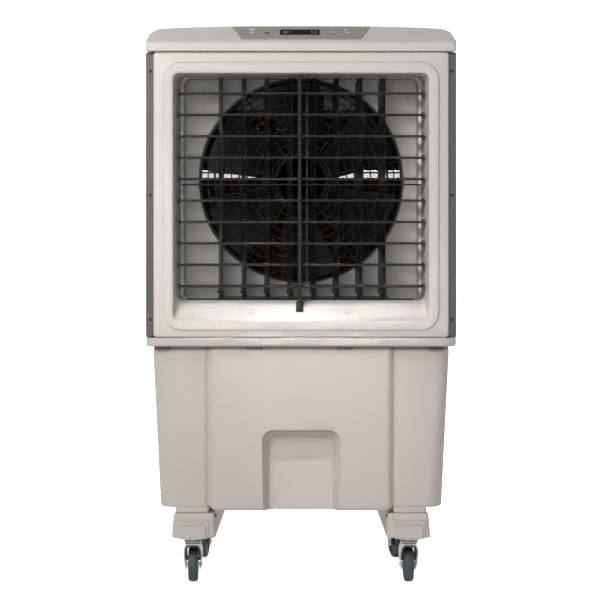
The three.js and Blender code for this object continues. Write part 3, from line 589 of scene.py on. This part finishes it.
def tank():
    hi = box_mm("tank")[1]
    top, corner, step_in, step_out = hi.z, TANK_CORNER, STEP_IN, STEP_OUT

    def arc(cx, cy, start):
        """The points between the two ends of a corner."""
        turns = [polar(corner, radians(start + 90 * i / 8)) for i in range(1, 8)]
        return [(cx + u, cy + v) for u, v in turns]

    def outline(level, inset):
        share = (level - TANK_BOTTOM) / (top - TANK_BOTTOM)
        half = blend(TANK_LOW_HALF_WIDTH, hi.x, share) - inset
        depth = blend(TANK_LOW_HALF_DEPTH, TANK_HIGH_HALF_DEPTH, share) - inset
        side_xs = [blend(half - corner, step_out + 8, i / 3) for i in range(3)]
        side_xs += [blend(step_out + 8, step_in, i / 16) for i in range(17)]
        middle = [blend(-step_in, step_in, i / 24) for i in range(1, 24)]
        xs = [-x for x in side_xs] + middle + side_xs[::-1]
        valley = lambda x: 5.0 * exp(-(((abs(x) - step_out + 0.5) / 4.6) ** 2))
        bump = lambda x: PROUD * smoothstep((step_out - abs(x)) / (step_out - step_in)) - valley(x)
        front = [(x, -depth - bump(x)) for x in xs]
        back = [(x, depth + bump(x)) for x in reversed(xs)]
        x, y = half - corner, depth - corner
        side = [blend(-y, y, i / 6) for i in range(7)]
        right = arc(x, -y, 270) + [(half, v) for v in side] + arc(x, y, 0)
        left = arc(-x, y, 90) + [(-half, v) for v in reversed(side)] + arc(-x, -y, 180)
        return front + right + back + left

    def ring(level, inset):
        """A level outline whose two outer stretches lift off the foot."""
        rise = (TANK_BOTTOM - TANK_FOOT) * max(0.0, 1 - (level - TANK_FOOT) / 20)
        lift = lambda x: rise * smoothstep((abs(x) - step_in) / (step_out - step_in))
        return [(x, y, level + lift(x)) for x, y in outline(level, inset)]

    rings = [ring(TANK_FOOT, 7), ring(164.5, 4.2), ring(166, 1.9), ring(168.8, 0.5), ring(173, 0)]
    rings += [ring(level, 0) for level in range(185, 500, 24)]
    rings += [ring(500, 0), ring(506, 0), ring(507.2, 0.4), ring(TANK_NECK, 1.4), ring(TANK_NECK, 9)]
    rings += [ring(top, 9), ring(top, 13), ring(500, 13), ring(480, 4), ring(190, 4), ring(176, 6)]
    body = piece("tank_moulding", *loft(rings), "tank_plastic", stands_for=("tank",), sharp=40)

    lining = [panel_ring(92, 168, 344, 29, -188), panel_ring(72, 168, 326, 22, RECESS_BACK + 4)]
    recess = [panel_ring(88, 130, 340, 25, -230), panel_ring(88, 130, 340, 25, -206)]
    recess.append(panel_ring(68, 130, 322, 18, RECESS_BACK))
    add_shape(body, loft(lining), "UNION")
    add_shape(body, loft(recess), "DIFFERENCE")
    soften(body, 3.0, 3, 38)
    # the neck band is darker tank plastic: painted shadow of the rim, laid over the neck's real shallow inset
    low, high = TANK_NECK + 0.2, top - 0.4
    band = [ring(low, 1.6), ring(high, 1.6), ring(high, 8), ring(low, 8)]
    piece("tank_neck_shadow_band", *loft(band, closed=True), "rim_shade")

    for side_x in (-1, 1):
        for side_y in (-1, 1):
            x = sorted((side_x * 198, side_x * 268))
            y = sorted((side_y * 124, side_y * 183.6))
            name = f"tank_foot_{'f' if side_y < 0 else 'b'}{'l' if side_x < 0 else 'r'}"
            piece(name, *prism(rounded(x, y, 5, 4), (158.6, 172)), "tank_plastic", bevel=1.2)


def add_shape(obj, shape, operation):
    """Joins or cuts a shape and keeps only the result."""
    mesh = metric_mesh("tool", *shape)
    fix_normals(mesh)
    tool = in_scene("tool", mesh)
    step = obj.modifiers.new("shape", "BOOLEAN")
    step.operation = operation
    step.object = tool
    step.solver = "EXACT"
    bpy.context.view_layer.update()
    result = bpy.data.meshes.new_from_object(obj.evaluated_get(bpy.context.evaluated_depsgraph_get()))
    obj.modifiers.remove(step)
    obj.data = result
    bpy.data.objects.remove(tool)


def base_frame():
    lo, hi = box_mm("base_frame")
    hole = rounded((-296, 296), (-183, 183), 18, 10)
    ring = lambda inset, z: ring_at(
        rounded((lo.x + inset, hi.x - inset), (lo.y + inset, hi.y - inset), 28, 10), z
    )

    rings = [ring(9, lo.z), ring(4.4, lo.z + 0.3), ring(2, lo.z + 1.4), ring(0.6, lo.z + 3.4)]
    rings += [ring(0, lo.z + 6), ring(0, hi.z - 2.4)]
    rings += [ring(0.4, hi.z - 1), ring(1.1, hi.z - 0.3), ring(2.2, hi.z)]
    rings += [ring_at(hole, hi.z), ring_at(hole, lo.z)]
    piece("base_frame_moulding", *loft(rings, closed=True), "rim_plastic",
          stands_for=("base_frame",), sharp=50)
    z = (lo.z - 7.5, lo.z + 1)
    for middle in (-293, -98, 92, 286):
        for side, y in (("f", (-206.5, -196)), ("b", (196, 206.5))):
            ribs = [box((x - 1.1, x + 1.1), y, z) for x in range(middle - 15, middle + 16, 5)]
            piece(f"rim_clip_{side}_{middle + 400}", *joined(*ribs), "grille_plastic", bevel=0.4)


# ---- outlet: louvres, post and vanes ----
LOUVRE_HALF_LENGTH, LOUVRE_TILT = 262, radians(4.5)
POST_X, POST_NOTCH = -3, 5.5  # the louvres are cut back at the front for the post
VANE_LOW, VANE_HIGH, VANE_YAW, VANE_LINK_REACH = 628, 1097, radians(9), 29


def aerofoil(half_chord, thick, points=9):
    """A slim section as (along, across) points, rounded at its front edge."""
    upper = []
    for i in range(points + 1):
        t = i / points
        along = -half_chord + 2 * half_chord * t
        height = thick * (sqrt(t) * (1 - t) * 2.0 + 0.35 * (1 - t) + 0.32) * 0.55
        upper.append((along, height if i else thick * 0.12))
    lower = [(a, -h * 0.8) for a, h in reversed(upper)]
    return upper + lower


def louvres():
    section = aerofoil(24, 4.2)
    tail = [(a, h) for a, h in section if a > -4]
    end, notch = LOUVRE_HALF_LENGTH, (POST_X - POST_NOTCH, POST_X + POST_NOTCH)
    blade = [prism(section, (-end, notch[0]), "x"), prism(section, (notch[1], end), "x")]
    blade.append(prism(tail, notch, "x"))
    for side in (-1, 1):
        blade.append(prism(rounded((-20, 14), (-7, 7), 3, 4), (side * (end - 2), side * end), "x"))
        blade.append(turned([(3.2, 0), (3.2, side * 3)], 20, "x", (side * end, 0, 0)))
        clip_x = POST_X + side * 9
        blade.append(box(sorted((clip_x, clip_x + side * 3)), (-3, 9), (-1, 4.5)))
    blade.append(box((15.2, 17.6), (18, 31), (-3, 3)))
    for number in range(1, 11):
        name = f"{number:02d}"
        pivot = pivot_mm(f"louvre_{name}_tilt")
        place = Matrix.Translation(pivot) @ Matrix.Rotation(LOUVRE_TILT, 4, "X")
        piece(f"louvre_{name}_blade", *moved(joined(*blade), place), "blade_plastic", f"blade_{name}",
              stands_for=(f"louvre_{name}",), sharp=40)


def centre_post():
    lo, hi = box_mm("centre_support")
    post = [(lo.y, 590), (lo.y, hi.z), (-163, hi.z), (-163, 607)]
    foot = [(-187, 587.1), (-163, 605.4), (-163, 610), (-187, 596)]
    shapes = [prism(post, (POST_X - 3.5, POST_X + 3.5), "x"), prism(foot, (POST_X - 8, POST_X + 8), "x")]
    shapes.append(box((-258, 258), (-164, -159), (859.5, 862.5)))
    for number in range(1, 11):
        z = pivot_mm(f"louvre_{number:02d}_tilt").z
        for side in (-1, 1):
            ear = [(-168, z - 5), (-163.2, z - 5), (-163.2, z + 9), (-166, z + 11), (-168, z + 9)]
            shapes.append(prism(ear, (POST_X + side * 3.4, POST_X + side * 5.0), "x"))
    piece("centre_post", *joined(*shapes), "post_plastic", stands_for=("centre_support",), bevel=0.5)


def painted(node, material):
    """A node of the frame, kept in sight with a finish of its own."""
    obj = frame["nodes"][node]
    obj.data.materials.clear()
    obj.data.materials.append(MATERIALS[material])
    return obj


def show_cad(node, material, bevel):
    """Keeps a frame node in sight with rounded edges and its own finish."""
    obj = painted(node, material)
    flat = obj.modifiers.new("merged_flats", "DECIMATE")
    flat.decimate_type = "DISSOLVE"
    flat.angle_limit = radians(1)
    soften(obj, bevel, 2, 28)


def vanes():
    section = [(h, a) for a, h in aerofoil(38, 3.4)]
    low = VANE_LOW
    for number in range(1, 9):
        lo, hi = box_mm(f"vane_{number}")
        pivot = pivot_mm(f"vane_{number}_swing")
        pins = [turned([(3.5, lo.z), (3.5, low + 12)], 20), turned([(3.5, VANE_HIGH - 7), (3.5, hi.z)], 20)]
        pins.append(turned([(2.6, 626.4), (2.6, low + 6)], 16, "z", (0, -VANE_LINK_REACH, 0)))
        pins.append(turned([(0.02, low), (7, low), (7, low + 4), (4.5, low + 8), (3.4, low + 14)], 24))
        blade = prism(section, (low, VANE_HIGH))
        place = Matrix.Translation((pivot.x, pivot.y, 0)) @ Matrix.Rotation(VANE_YAW, 4, "Z")
        shape = moved(joined(blade, *pins), place)
        piece(f"vane_{number}_blade", *shape, "blade_plastic", f"upright_{number}",
              stands_for=(f"vane_{number}",), sharp=40)


def vane_rails():
    """The thin bar that swings the vanes together, and the dark strip their lower pins stand in, whose colour
    also paints the shadow of the slot at the back of the tunnel floor.
    """
    lo, hi = box_mm("vane_link")
    middle = (lo.y + hi.y) / 2
    parts = [box((lo.x, hi.x), (lo.y, hi.y), (lo.z, lo.z + 4))]
    for number in range(1, 9):
        x = pivot_mm(f"vane_{number}_swing").x + VANE_LINK_REACH * sin(VANE_YAW)
        pin = [(4.6, lo.z + 3), (4.6, lo.z + 5), (3.4, hi.z), (0.02, hi.z)]
        parts.append(turned(pin, 20, "z", (x, middle, 0)))
    piece("vane_link_bar", *joined(*parts), "blade_plastic", "upright_link",
          stands_for=("vane_link",), bevel=0.3)
    # a dark strip across the back of the tunnel floor: painted shadow of the slot between the floor and the
    # deck
    strip = box((-252, 252), (-79, -58), (613.2, 616.6))
    piece("vane_strip_painted_shadow", *strip, "blade_plastic", bevel=0.8)


# ---- fan ----
RING_RADIUS, RING_SIDES = 228, 96
ROTOR_FRONT, ROTOR_REAR, HUB_RADIUS, ROTOR_RADIUS = -27, 23, 65, 217


def circle(radius, sides):
    return [polar(radius, 2 * pi * i / sides) for i in range(sides)]


def fan_deck():
    lo, hi = box_mm("fan_deck")
    z0 = pivot_mm("fan_spin").z
    ring = lambda radius, y: [(u, y, z0 + v) for u, v in circle(radius, RING_SIDES)]

    def square(y):
        """The deck's outer edge, with its points in line with the ring's."""
        points = []
        for c, s in circle(1, RING_SIDES):
            reach = min(hi.x / max(abs(c), 1e-6), (hi.z - z0 if s > 0 else z0 - lo.z) / max(abs(s), 1e-6))
            points.append((reach * c, y, z0 + reach * s))
        return points

    r = RING_RADIUS
    rings = [square(lo.y + 4), square(lo.y), ring(r + 8, lo.y), ring(r + 5, lo.y - 0.6)]
    rings += [ring(r + 2, lo.y + 0.4), ring(r + 0.4, lo.y + 2.4), ring(r, lo.y + 6)]
    rings += [ring(r, hi.y - 1), ring(r + 1, hi.y), ring(r + 3, hi.y)]
    rings += [ring(r + 3, lo.y + 10), ring(r + 8, lo.y + 4)]
    piece("fan_deck_moulding", *loft(rings, closed=True), "deck_plastic",
          stands_for=("fan_deck",), sharp=50)
    for i in range(8):
        u, v = polar(r + 15, radians(22.5 + 45 * i))
        screw(f"deck_screw_{i}", (u, lo.y + 0.2, z0 + v), (0, -1, 0), 4, "deck_plastic")
    front, rear = lo.y + 3, hi.y - 2
    liner = [ring(r - 0.4, front), ring(r - 0.4, rear), ring(r - 1.2, rear), ring(r - 1.2, front)]
    piece("fan_ring_liner", *loft(liner, closed=True), "fan_plastic", sharp=50)


def torus(radius, wire, y, z0, sides=72, around=8):
    rings = []
    for i in range(sides):
        ring = []
        for out, back in circle(wire, around):
            u, v = polar(radius + out, 2 * pi * i / sides)
            ring.append((u, y + back, z0 + v))
        rings.append(ring)
    return loft(rings, closed=True)


def bar(start, end, radius, around=8):
    """A round bar between two points."""
    start, end = Vector(start), Vector(end)
    turn = Vector((0, 0, 1)).rotation_difference(end - start).to_matrix().to_4x4()
    shape = turned([(radius, 0), (radius, (end - start).length)], around)
    return moved(shape, Matrix.Translation(start) @ turn)


def fan_guard():
    lo, hi = box_mm("fan_guard")
    y = (lo.y + hi.y) / 2
    z0 = pivot_mm("fan_spin").z
    wires = [torus(radius, 1.5, y, z0) for radius in (84, 102, 120, 138, 156, 174, 192, 208, 224)]
    wires += [torus(radius, 2.2, y, z0) for radius in (58, 66)]
    for i in range(16):
        c, s = polar(1, radians(11.25 + 22.5 * i))
        wires.append(bar((60 * c, y + 2, z0 + 60 * s), (226 * c, y + 2, z0 + 226 * s), 1.7))
    piece("fan_guard_wires", *joined(*wires), "fan_plastic", stands_for=("fan_guard",), sharp=50)


def rotor_blade(hub, tip, middle):
    """A swept, twisted and cambered blade as (x, y, z) about the fan's axis, pointing along +X."""
    stations, across = 14, 10

    def ring(share):
        radius = blend(hub - 6, tip, share)
        chord = blend(66, 152, share**0.8) * (1 - 0.22 * max(0.0, share - 0.85) / 0.15 * 0.6)
        pitch = radians(blend(38, 17, share))
        points = []
        for side in (-1, 1):
            run = range(across + 1) if side < 0 else range(across, -1, -1)
            for k in run:
                s = -1 + 2 * k / across
                along = s * chord / 2
                lift = (1 - s * s) * 6 + side * 1.3 * (1 - 0.7 * abs(s))
                u = along * cos(pitch) - lift * sin(pitch)
                axial = along * sin(pitch) + lift * cos(pitch)
                x, z = polar(radius, u / radius + 0.10 * share * share)
                points.append((x, middle + axial, z))
        return points

    return loft([ring(i / stations) for i in range(stations + 1)])


def fan_rotor():
    front, rear, rim = ROTOR_FRONT, ROTOR_REAR, HUB_RADIUS
    blades = []
    for i in range(6):
        turn = Matrix.Rotation(radians(60 * (i + 0.5)), 4, "Y")
        blades.append(moved(rotor_blade(rim, ROTOR_RADIUS, (front + rear) / 2), turn))
    face = [(0.02, front + 4), (22, front + 3.4), (26, front + 1.2), (50, front + 1.0), (57, front)]
    edge = [(61, front + 1.2), (rim - 0.8, front + 4), (rim, front + 8), (rim, rear), (rim - 4, rear)]
    inside = [(rim - 5, front + 9), (16, front + 9), (16, rear)]
    inside += [(8.4, rear), (8.4, front + 12), (0.02, front + 12)]
    hub = turned(face + edge + inside, 72, "y")
    ring = turned([(52, front + 0.4), (54, front - 1.2), (56, front + 0.4)], 72, "y")
    place = Matrix.Translation(pivot_mm("fan_spin"))
    piece("fan_rotor_blades", *moved(joined(*blades), place), "fan_plastic", "fan",
          stands_for=("fan_rotor",), sharp=60)
    piece("fan_hub", *moved(joined(hub, ring), place), "fan_plastic", "fan", sharp=30)


# ---- pads ----
def pad(name, blocks, width, depth, place):
    """Upright fluted sheets in stacked blocks; neighbouring flutes slant opposite ways."""
    pitch, flute, amplitude = 12.0, 23.0, 7.44
    ins = [blend(-depth / 2, depth / 2, i / 8) for i in range(9)]
    sheets = []
    for low, high in blocks:
        ups = evenly(low, high, 5.6)
        for row, x in enumerate(evenly(-width / 2, width / 2, pitch)):
            slant = 1 if row % 2 else -1
            verts = []
            for z in ups:
                for y in ins:
                    wave = sin(2 * pi * (z + slant * y) / flute)
                    verts.append((x + wave * amplitude, y, z))
            n = len(ins)
            faces = []
            for i in range(len(ups) - 1):
                for k in range(n - 1):
                    faces.append((i * n + k, i * n + k + 1, (i + 1) * n + k + 1, (i + 1) * n + k))
            sheets.append((verts, faces))
    shape = moved(joined(*sheets), place)
    obj = piece(f"{name}_sheets", *shape, "pad_cellulose", stands_for=(name,), sharp=80)
    thick = obj.modifiers.new("paper", "SOLIDIFY")
    thick.thickness = 0.8 * MM


def pads():
    for side, sign in (("left", -1), ("right", 1)):
        lo, hi = box_mm(f"pad_{side}")
        middle = Matrix.Translation(((lo.x + hi.x) / 2, (lo.y + hi.y) / 2, 0))
        place = middle @ Matrix.Rotation(sign * pi / 2, 4, "Z")
        pad(f"pad_{side}", [(lo.z + 1, hi.z - 1)], hi.y - lo.y - 4, hi.x - lo.x - 2, place)
    lo, hi = box_mm("pad_rear")
    place = Matrix.Translation((0, (lo.y + hi.y) / 2, 0)) @ Matrix.Rotation(pi, 4, "Z")
    slit_low, slit_high = 908, 921
    pad("pad_rear", [(lo.z + 1, slit_low), (slit_high, hi.z - 1)], hi.x - lo.x - 4, hi.y - lo.y - 2, place)
    left, right, y = lo.x + 4, hi.x - 4, hi.y - 1.5
    strands = [bar((left, y, z), (right, y, z), 0.42, 6) for z in evenly(slit_low, slit_high, 1.6)]
    piece("dust_net_strands", *joined(*strands), "white_plastic", slot="pad_cellulose")


# ---- casters ----
CASTER_X, CASTER_Y, CASTER_TRAIL, AXLE_Z = 234, 146, 28, 37.5


def caster_place(where):
    """The caster's own frame at its swivel, turned as it stands."""
    pivot = pivot_mm(f"caster_{where}_swivel")
    axis = Vector(JOINTS[f"caster_{where}_roll"]["axis"])
    yaw = atan2(axis.y, axis.x)
    return Matrix.Translation((pivot.x, pivot.y, 0)) @ Matrix.Rotation(yaw, 4, "Z")


# the fork's outline: half width, height, and where the plate starts and ends along the wheel
FORK_PATH = [
    (16.4, 27, 23, 33), (16.6, 32, 20.5, 35.5), (17.2, 38, 18, 38), (19.2, 47, 13, 39.5), (20.4, 57, 7, 40),
    (20.6, 67, 0, 39.5), (19.6, 76, -8, 38), (17.2, 82.6, -12, 36), (13.6, 86.6, -13, 34.5), (9, 88, -13, 34),
]


def bent_plate(half, outside, thick):
    """One plate bent into an upside-down U: outside is how far its skin lies within the outline."""
    path = half + [(-x, z, y0, y1) for x, z, y0, y1 in reversed(half)]
    rings = []
    for i, (x, z, y0, y1) in enumerate(path):
        before, after = path[max(i - 1, 0)], path[min(i + 1, len(path) - 1)]
        inward = Vector((before[1] - after[1], after[0] - before[0])).normalized()
        if inward.x * x > 0 or (abs(inward.x) < 0.01 and inward.y > 0):
            inward = -inward
        skin, back = inward * outside, inward * (outside + thick)
        rings.append([(x + skin.x, y0, z + skin.y), (x + skin.x, y1, z + skin.y),
                      (x + back.x, y1 - 0.6, z + back.y), (x + back.x, y0 + 0.6, z + back.y)])
    return loft(rings)


def caster(where):
    place = caster_place(where)
    axle_middle = (0, CASTER_TRAIL, AXLE_Z)

    def add(name, shape, material, body="swivel", **looks):
        piece(name, *moved(shape, place), material, f"{body}_{where}", **looks)

    pressing = bent_plate(FORK_PATH, 0, 3.4)
    add(f"fork_{where}_pressing", pressing, "zinc", stands_for=(f"fork_{where}",), bevel=0.6)
    # a dark lining inside the fork's upper arch, round the tyre: painted shade of the pressing's inner sides
    shade_lining = [(x, z, y0 + 1.5, y1 - 1.5) for x, z, y0, y1 in FORK_PATH[3:]]
    add(f"fork_{where}_shield", bent_plate(shade_lining, 3.5, 4.4), "bracket_steel", bevel=0.3)
    race = [(0.02, 89.4), (15.5, 89.4), (18.6, 90), (19.8, 91.4), (19.4, 92.6), (17.4, 93.2), (15.6, 93.4),
            (15.6, 95.2), (18, 95.2), (19.4, 96.4), (19, 98.4), (17, 99.6), (0.02, 99.6)]
    # a dark disc between the fork's crown and the race: painted shadow of the gap between them
    gap = [(0.02, 87.9), (17.2, 87.9), (17.2, 88.9), (14, 93.4), (16.8, 94), (16.8, 94.8), (0.02, 94.8)]
    add(f"caster_gap_shadow_{where}", turned(gap), "bracket_steel", sharp=45)
    add(f"caster_race_{where}", turned(race), "zinc", sharp=45)
    bolt = []
    hexagon = [(CASTER_TRAIL + u, AXLE_Z + v) for u, v in circle(5.8, 6)]
    for side in (-1, 1):
        bolt.append(prism(hexagon, (side * 16.6, side * 18.8), "x"))
        bolt.append(turned([(3.2, side * 18), (3.2, side * 20), (2.4, side * 20.4)], 20, "x", axle_middle))
    add(f"axle_bolt_{where}", joined(*bolt), "steel", bevel=0.5)
    w = 10.4
    tread = [(27, -w), (32.5, -w), (35.4, -w + 1.2), (36.9, -w + 3.4), (37.4, -w + 6), (37.5, 0)]
    tread += [(37.4, w - 6), (36.9, w - 3.4), (35.4, w - 1.2), (32.5, w), (27, w)]
    tyre = turned(tread, 72, "x", axle_middle, closed=True)
    add(f"tyre_{where}", tyre, "tread", "roller", stands_for=(f"wheel_{where}",), sharp=50)
    hub = [(4.4, -w + 0.2), (9, -w + 0.2), (10, -w + 2.4), (24, -w + 3.2), (25.4, -w + 1), (27.4, -w + 0.6)]
    hub += [(27.4, w - 0.6), (25.4, w - 1), (24, w - 3.2), (10, w - 2.4), (9, w - 0.2), (4.4, w - 0.2)]
    add(f"wheel_hub_{where}", turned(hub, 60, "x", axle_middle, closed=True), "hub", "roller", sharp=30)
    add(f"axle_{where}", turned([(4, -16.8), (4, 16.8)], 24, "x", axle_middle), "steel")


def caster_beams():
    for side, sign in (("left", -1), ("right", 1)):
        lo, hi = box_mm(f"caster_beam_{side}")
        mid, half, low, top = (lo.x + hi.x) / 2, (hi.x - lo.x) / 2, 106, hi.z

        def ring(inset, z, r=7):
            outline = rounded((mid - half + inset, mid + half - inset), (lo.y + inset, hi.y - inset), r, 6)
            return ring_at(outline, z)

        rings = [ring(2.5, low), ring(1, low + 0.6), ring(0.2, low + 3), ring(3.4, top - 7)]
        shapes = [loft([*rings, ring(4.4, top - 1.6), ring(6, top)])]
        for end in (-1, 1):
            y_face, relief = end * (hi.y - 2.0), mid + sign * 2
            for half_w, tall, sink, out in ((34.5, 36, 0.6, 3.6), (28.5, 27, -1.4, 8.0)):
                face = rounded((relief - half_w, relief + half_w), (low + sink, low + tall), 5, 5)
                layers = []
                for step, k in ((-14, 1.2), (out - 1.5, 1.0), (out, 0.96)):
                    y = y_face + end * step
                    layers.append([(mid + (u - mid) * k, y, 122 + (v - 122) * k) for u, v in face])
                shapes.append(loft(layers))
            x, y = sign * CASTER_X, end * CASTER_Y
            seat = [(0.02, 101.6), (29, 101.6), (32, 103), (34, 107), (34.6, 118)]
            shapes.append(turned(seat, 48, "z", (x, y, 0)))
            plate = rounded((x - 25, x + 25), (y - 30, y + 30), 7, 5)
            where = f"{'front' if end < 0 else 'rear'}_{side}"
            piece(f"caster_plate_{where}", *prism(plate, (100.1, 102.4)), "steel", bevel=0.6)
            for cx in (-19, 19):
                for cy in (-23, 23):
                    name = f"plate_screw_{where}_{cx}_{cy}".replace("-", "m")
                    screw(name, (x + cx, y + cy, 100.2), (0, 0, -1), 3)
            centre = (mid - sign * (half - 2.6), end * 150, 148)
            screw(f"beam_screw_{where}", centre, (-sign, 0, 0), 4, "shadow_gap")
        name = f"caster_beam_{side}"
        piece(f"{name}_moulding", *joined(*shapes), "tank_plastic", stands_for=(name,), bevel=1.0)


# ---- water fittings at the back ----
def rear_fittings():
    front_y = box_mm("drain_cap")[0].y
    centre = pivot_mm("drain_cap_turn")
    sides = 72
    rings = [[(u, 208.6, centre.z + v) for u, v in circle(15.6, sides)]]
    skirt = [(15.6, front_y), (19, front_y), (19.6, front_y + 1.2), (19.6, 211)]
    for radius, y in (*skirt, (18, 213), (6, 213), (0.02, 213)):
        ring = []
        for i in range(sides):
            angle = 2 * pi * i / sides
            grip = 0.5 * cos(18 * angle) if radius > 19.2 else 0.0
            u, v = polar(radius + grip, angle)
            ring.append((u, y, centre.z + v))
        rings.append(ring)
    shape = joined(loft(rings), box((-14, 14), (212.4, 214.8), (centre.z - 2.5, centre.z + 2.5)))
    piece("drain_cap_moulding", *shape, "grille_plastic", "cap", stands_for=("drain_cap",), sharp=35)
    stub = [(11, 190), (15, 190), (15, 208), (14, 208.4), (11, 208.4)]
    piece("drain_stub", *turned(stub, 48, "y", (0, 0, centre.z), closed=True), "tank_plastic")
    inlet_lo, inlet_hi = box_mm("inlet_valve")
    x, z = (inlet_lo.x + inlet_hi.x) / 2, (inlet_lo.z + inlet_hi.z) / 2
    threads = []
    y = 204.0
    while y < inlet_hi.y - 1.4:
        threads += [(9.3, y), (9.95, y + 0.5), (9.3, y + 1.0)]
        y += 1.3
    threads += [(9.2, y), (5.0, y), (5.0, 203.6), (9.3, 203.6)]
    piece("inlet_threads", *turned(threads, 48, "y", (x, 0, z), closed=True), "brass", sharp=25)


# ---- the picture ----
def light(name, place, energy, size, target=(0, 0, 0.7), spread=180):
    """A soft rectangular lamp; a narrow spread keeps its light near the target."""
    data = bpy.data.lights.new(name, "AREA")
    data.energy = energy
    data.shape = "RECTANGLE"
    data.size, data.size_y = size
    data.spread = radians(spread)
    obj = in_scene(name, data)
    obj.location = place
    obj.rotation_euler = (Vector(target) - Vector(place)).to_track_quat("-Z", "Y").to_euler()


def studio_white(tree, strength, seen, lit):
    """White as it is seen, but a weaker source of light, so the lamps shape the surfaces."""
    path = tree.nodes.new("ShaderNodeLightPath")
    pick = tree.nodes.new("ShaderNodeMapRange")
    set_inputs(pick, {"To Min": lit, "To Max": seen})
    tree.links.new(path.outputs["Is Camera Ray"], pick.inputs["Value"])
    tree.links.new(pick.outputs["Result"], strength)


def studio():
    turns = [polar(1.5, pi * i / 24) for i in range(13)]
    run = [(-14, 0), (2.5, 0), *[(3.0 + side, 1.5 - down) for down, side in turns], (4.5, 12)]
    ground = bpy.data.meshes.new("studio_floor")
    ground.from_pydata([(x, y, z) for y, z in run for x in (-14, 14)], [],
                       [(2 * i, 2 * i + 1, 2 * i + 3, 2 * i + 2) for i in range(len(run) - 1)])
    ground.polygons.foreach_set("use_smooth", [True] * len(ground.polygons))
    white = MATERIALS["floor"]
    shader = white.node_tree.nodes["Principled BSDF"]
    shader.inputs["Emission Color"].default_value = (1, 1, 1, 1)
    studio_white(white.node_tree, shader.inputs["Emission Strength"], 0.8, 0.07)
    ground.materials.append(white)
    floor = in_scene("studio_floor", ground)
    floor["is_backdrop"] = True
    world = bpy.data.worlds.new("studio")
    world.use_nodes = True
    sky = world.node_tree.nodes["Background"]
    sky.inputs["Color"].default_value = (1, 1, 1, 1)
    studio_white(world.node_tree, sky.inputs["Strength"], 1.0, 0.07)
    bpy.context.scene.world = world
    light("key", (-1.4, -2.5, 2.1), 50, (1.2, 1.0))
    light("front", (-0.3, -3.2, 2.0), 10, (1.4, 0.9))
    light("high", (-0.3, -1.9, 2.7), 3, (1.8, 1.2))
    light("low", (-0.3, -3.0, 0.9), 7, (1.4, 0.8))
    light("right", (1.4, -2.6, 1.8), 3, (1.2, 1.0))
    light("sill", (-0.2, -1.2, 2.6), 0.42, (0.5, 0.1), (0, -0.19, 0.585), 12)
    light("back", (1.5, 3.0, 2.0), 36, (1.4, 1.4))
    light("side_left", (-3.0, 0.7, 1.5), 18, (1.2, 1.4))
    light("side_right", (3.0, 0.7, 1.5), 18, (1.2, 1.4))
    light("backdrop", (0, 2.3, 4.6), 60, (6.0, 1.5), (0, 4.0, 0.8))
    bpy.context.scene.view_settings.view_transform = "Standard"


def camera():
    data = bpy.data.cameras.new("camera")
    data.sensor_width = 36
    data.lens = 84.95
    data.dof.use_dof = False
    obj = in_scene("camera", data)
    obj.location = (-0.0023, -3.207, 0.613)
    obj.rotation_euler = (pi / 2, 0, 0)
    bpy.context.scene.camera = obj


front_panel()
rear_frame()
side_grilles()
rear_grille()
lid()
control_strip()
tank()
base_frame()
louvres()
centre_post()
vanes()
vane_rails()
fan_deck()
fan_guard()
fan_rotor()
pads()
for place_name in ("front_left", "front_right", "rear_left", "rear_right"):
    caster(place_name)
caster_beams()
rear_fittings()
show_cad("louvre_link", "blade_plastic", 0.5)
show_cad("swing_motor", "motor_casing", 1.0)
show_cad("fan_motor", "motor_casing", 2.0)
show_cad("motor_bracket", "bracket_steel", 0.8)
show_cad("water_distributor", "white_plastic", 0.8)
show_cad("pump", "fan_plastic", 2.0)
show_cad("inlet_valve", "brass", 0.6)
show_cad("float_arm", "white_plastic", 1.0)
studio()
camera()

[[list(corner) for corner in pair] for pair in ((cad_lo, cad_hi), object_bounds())]
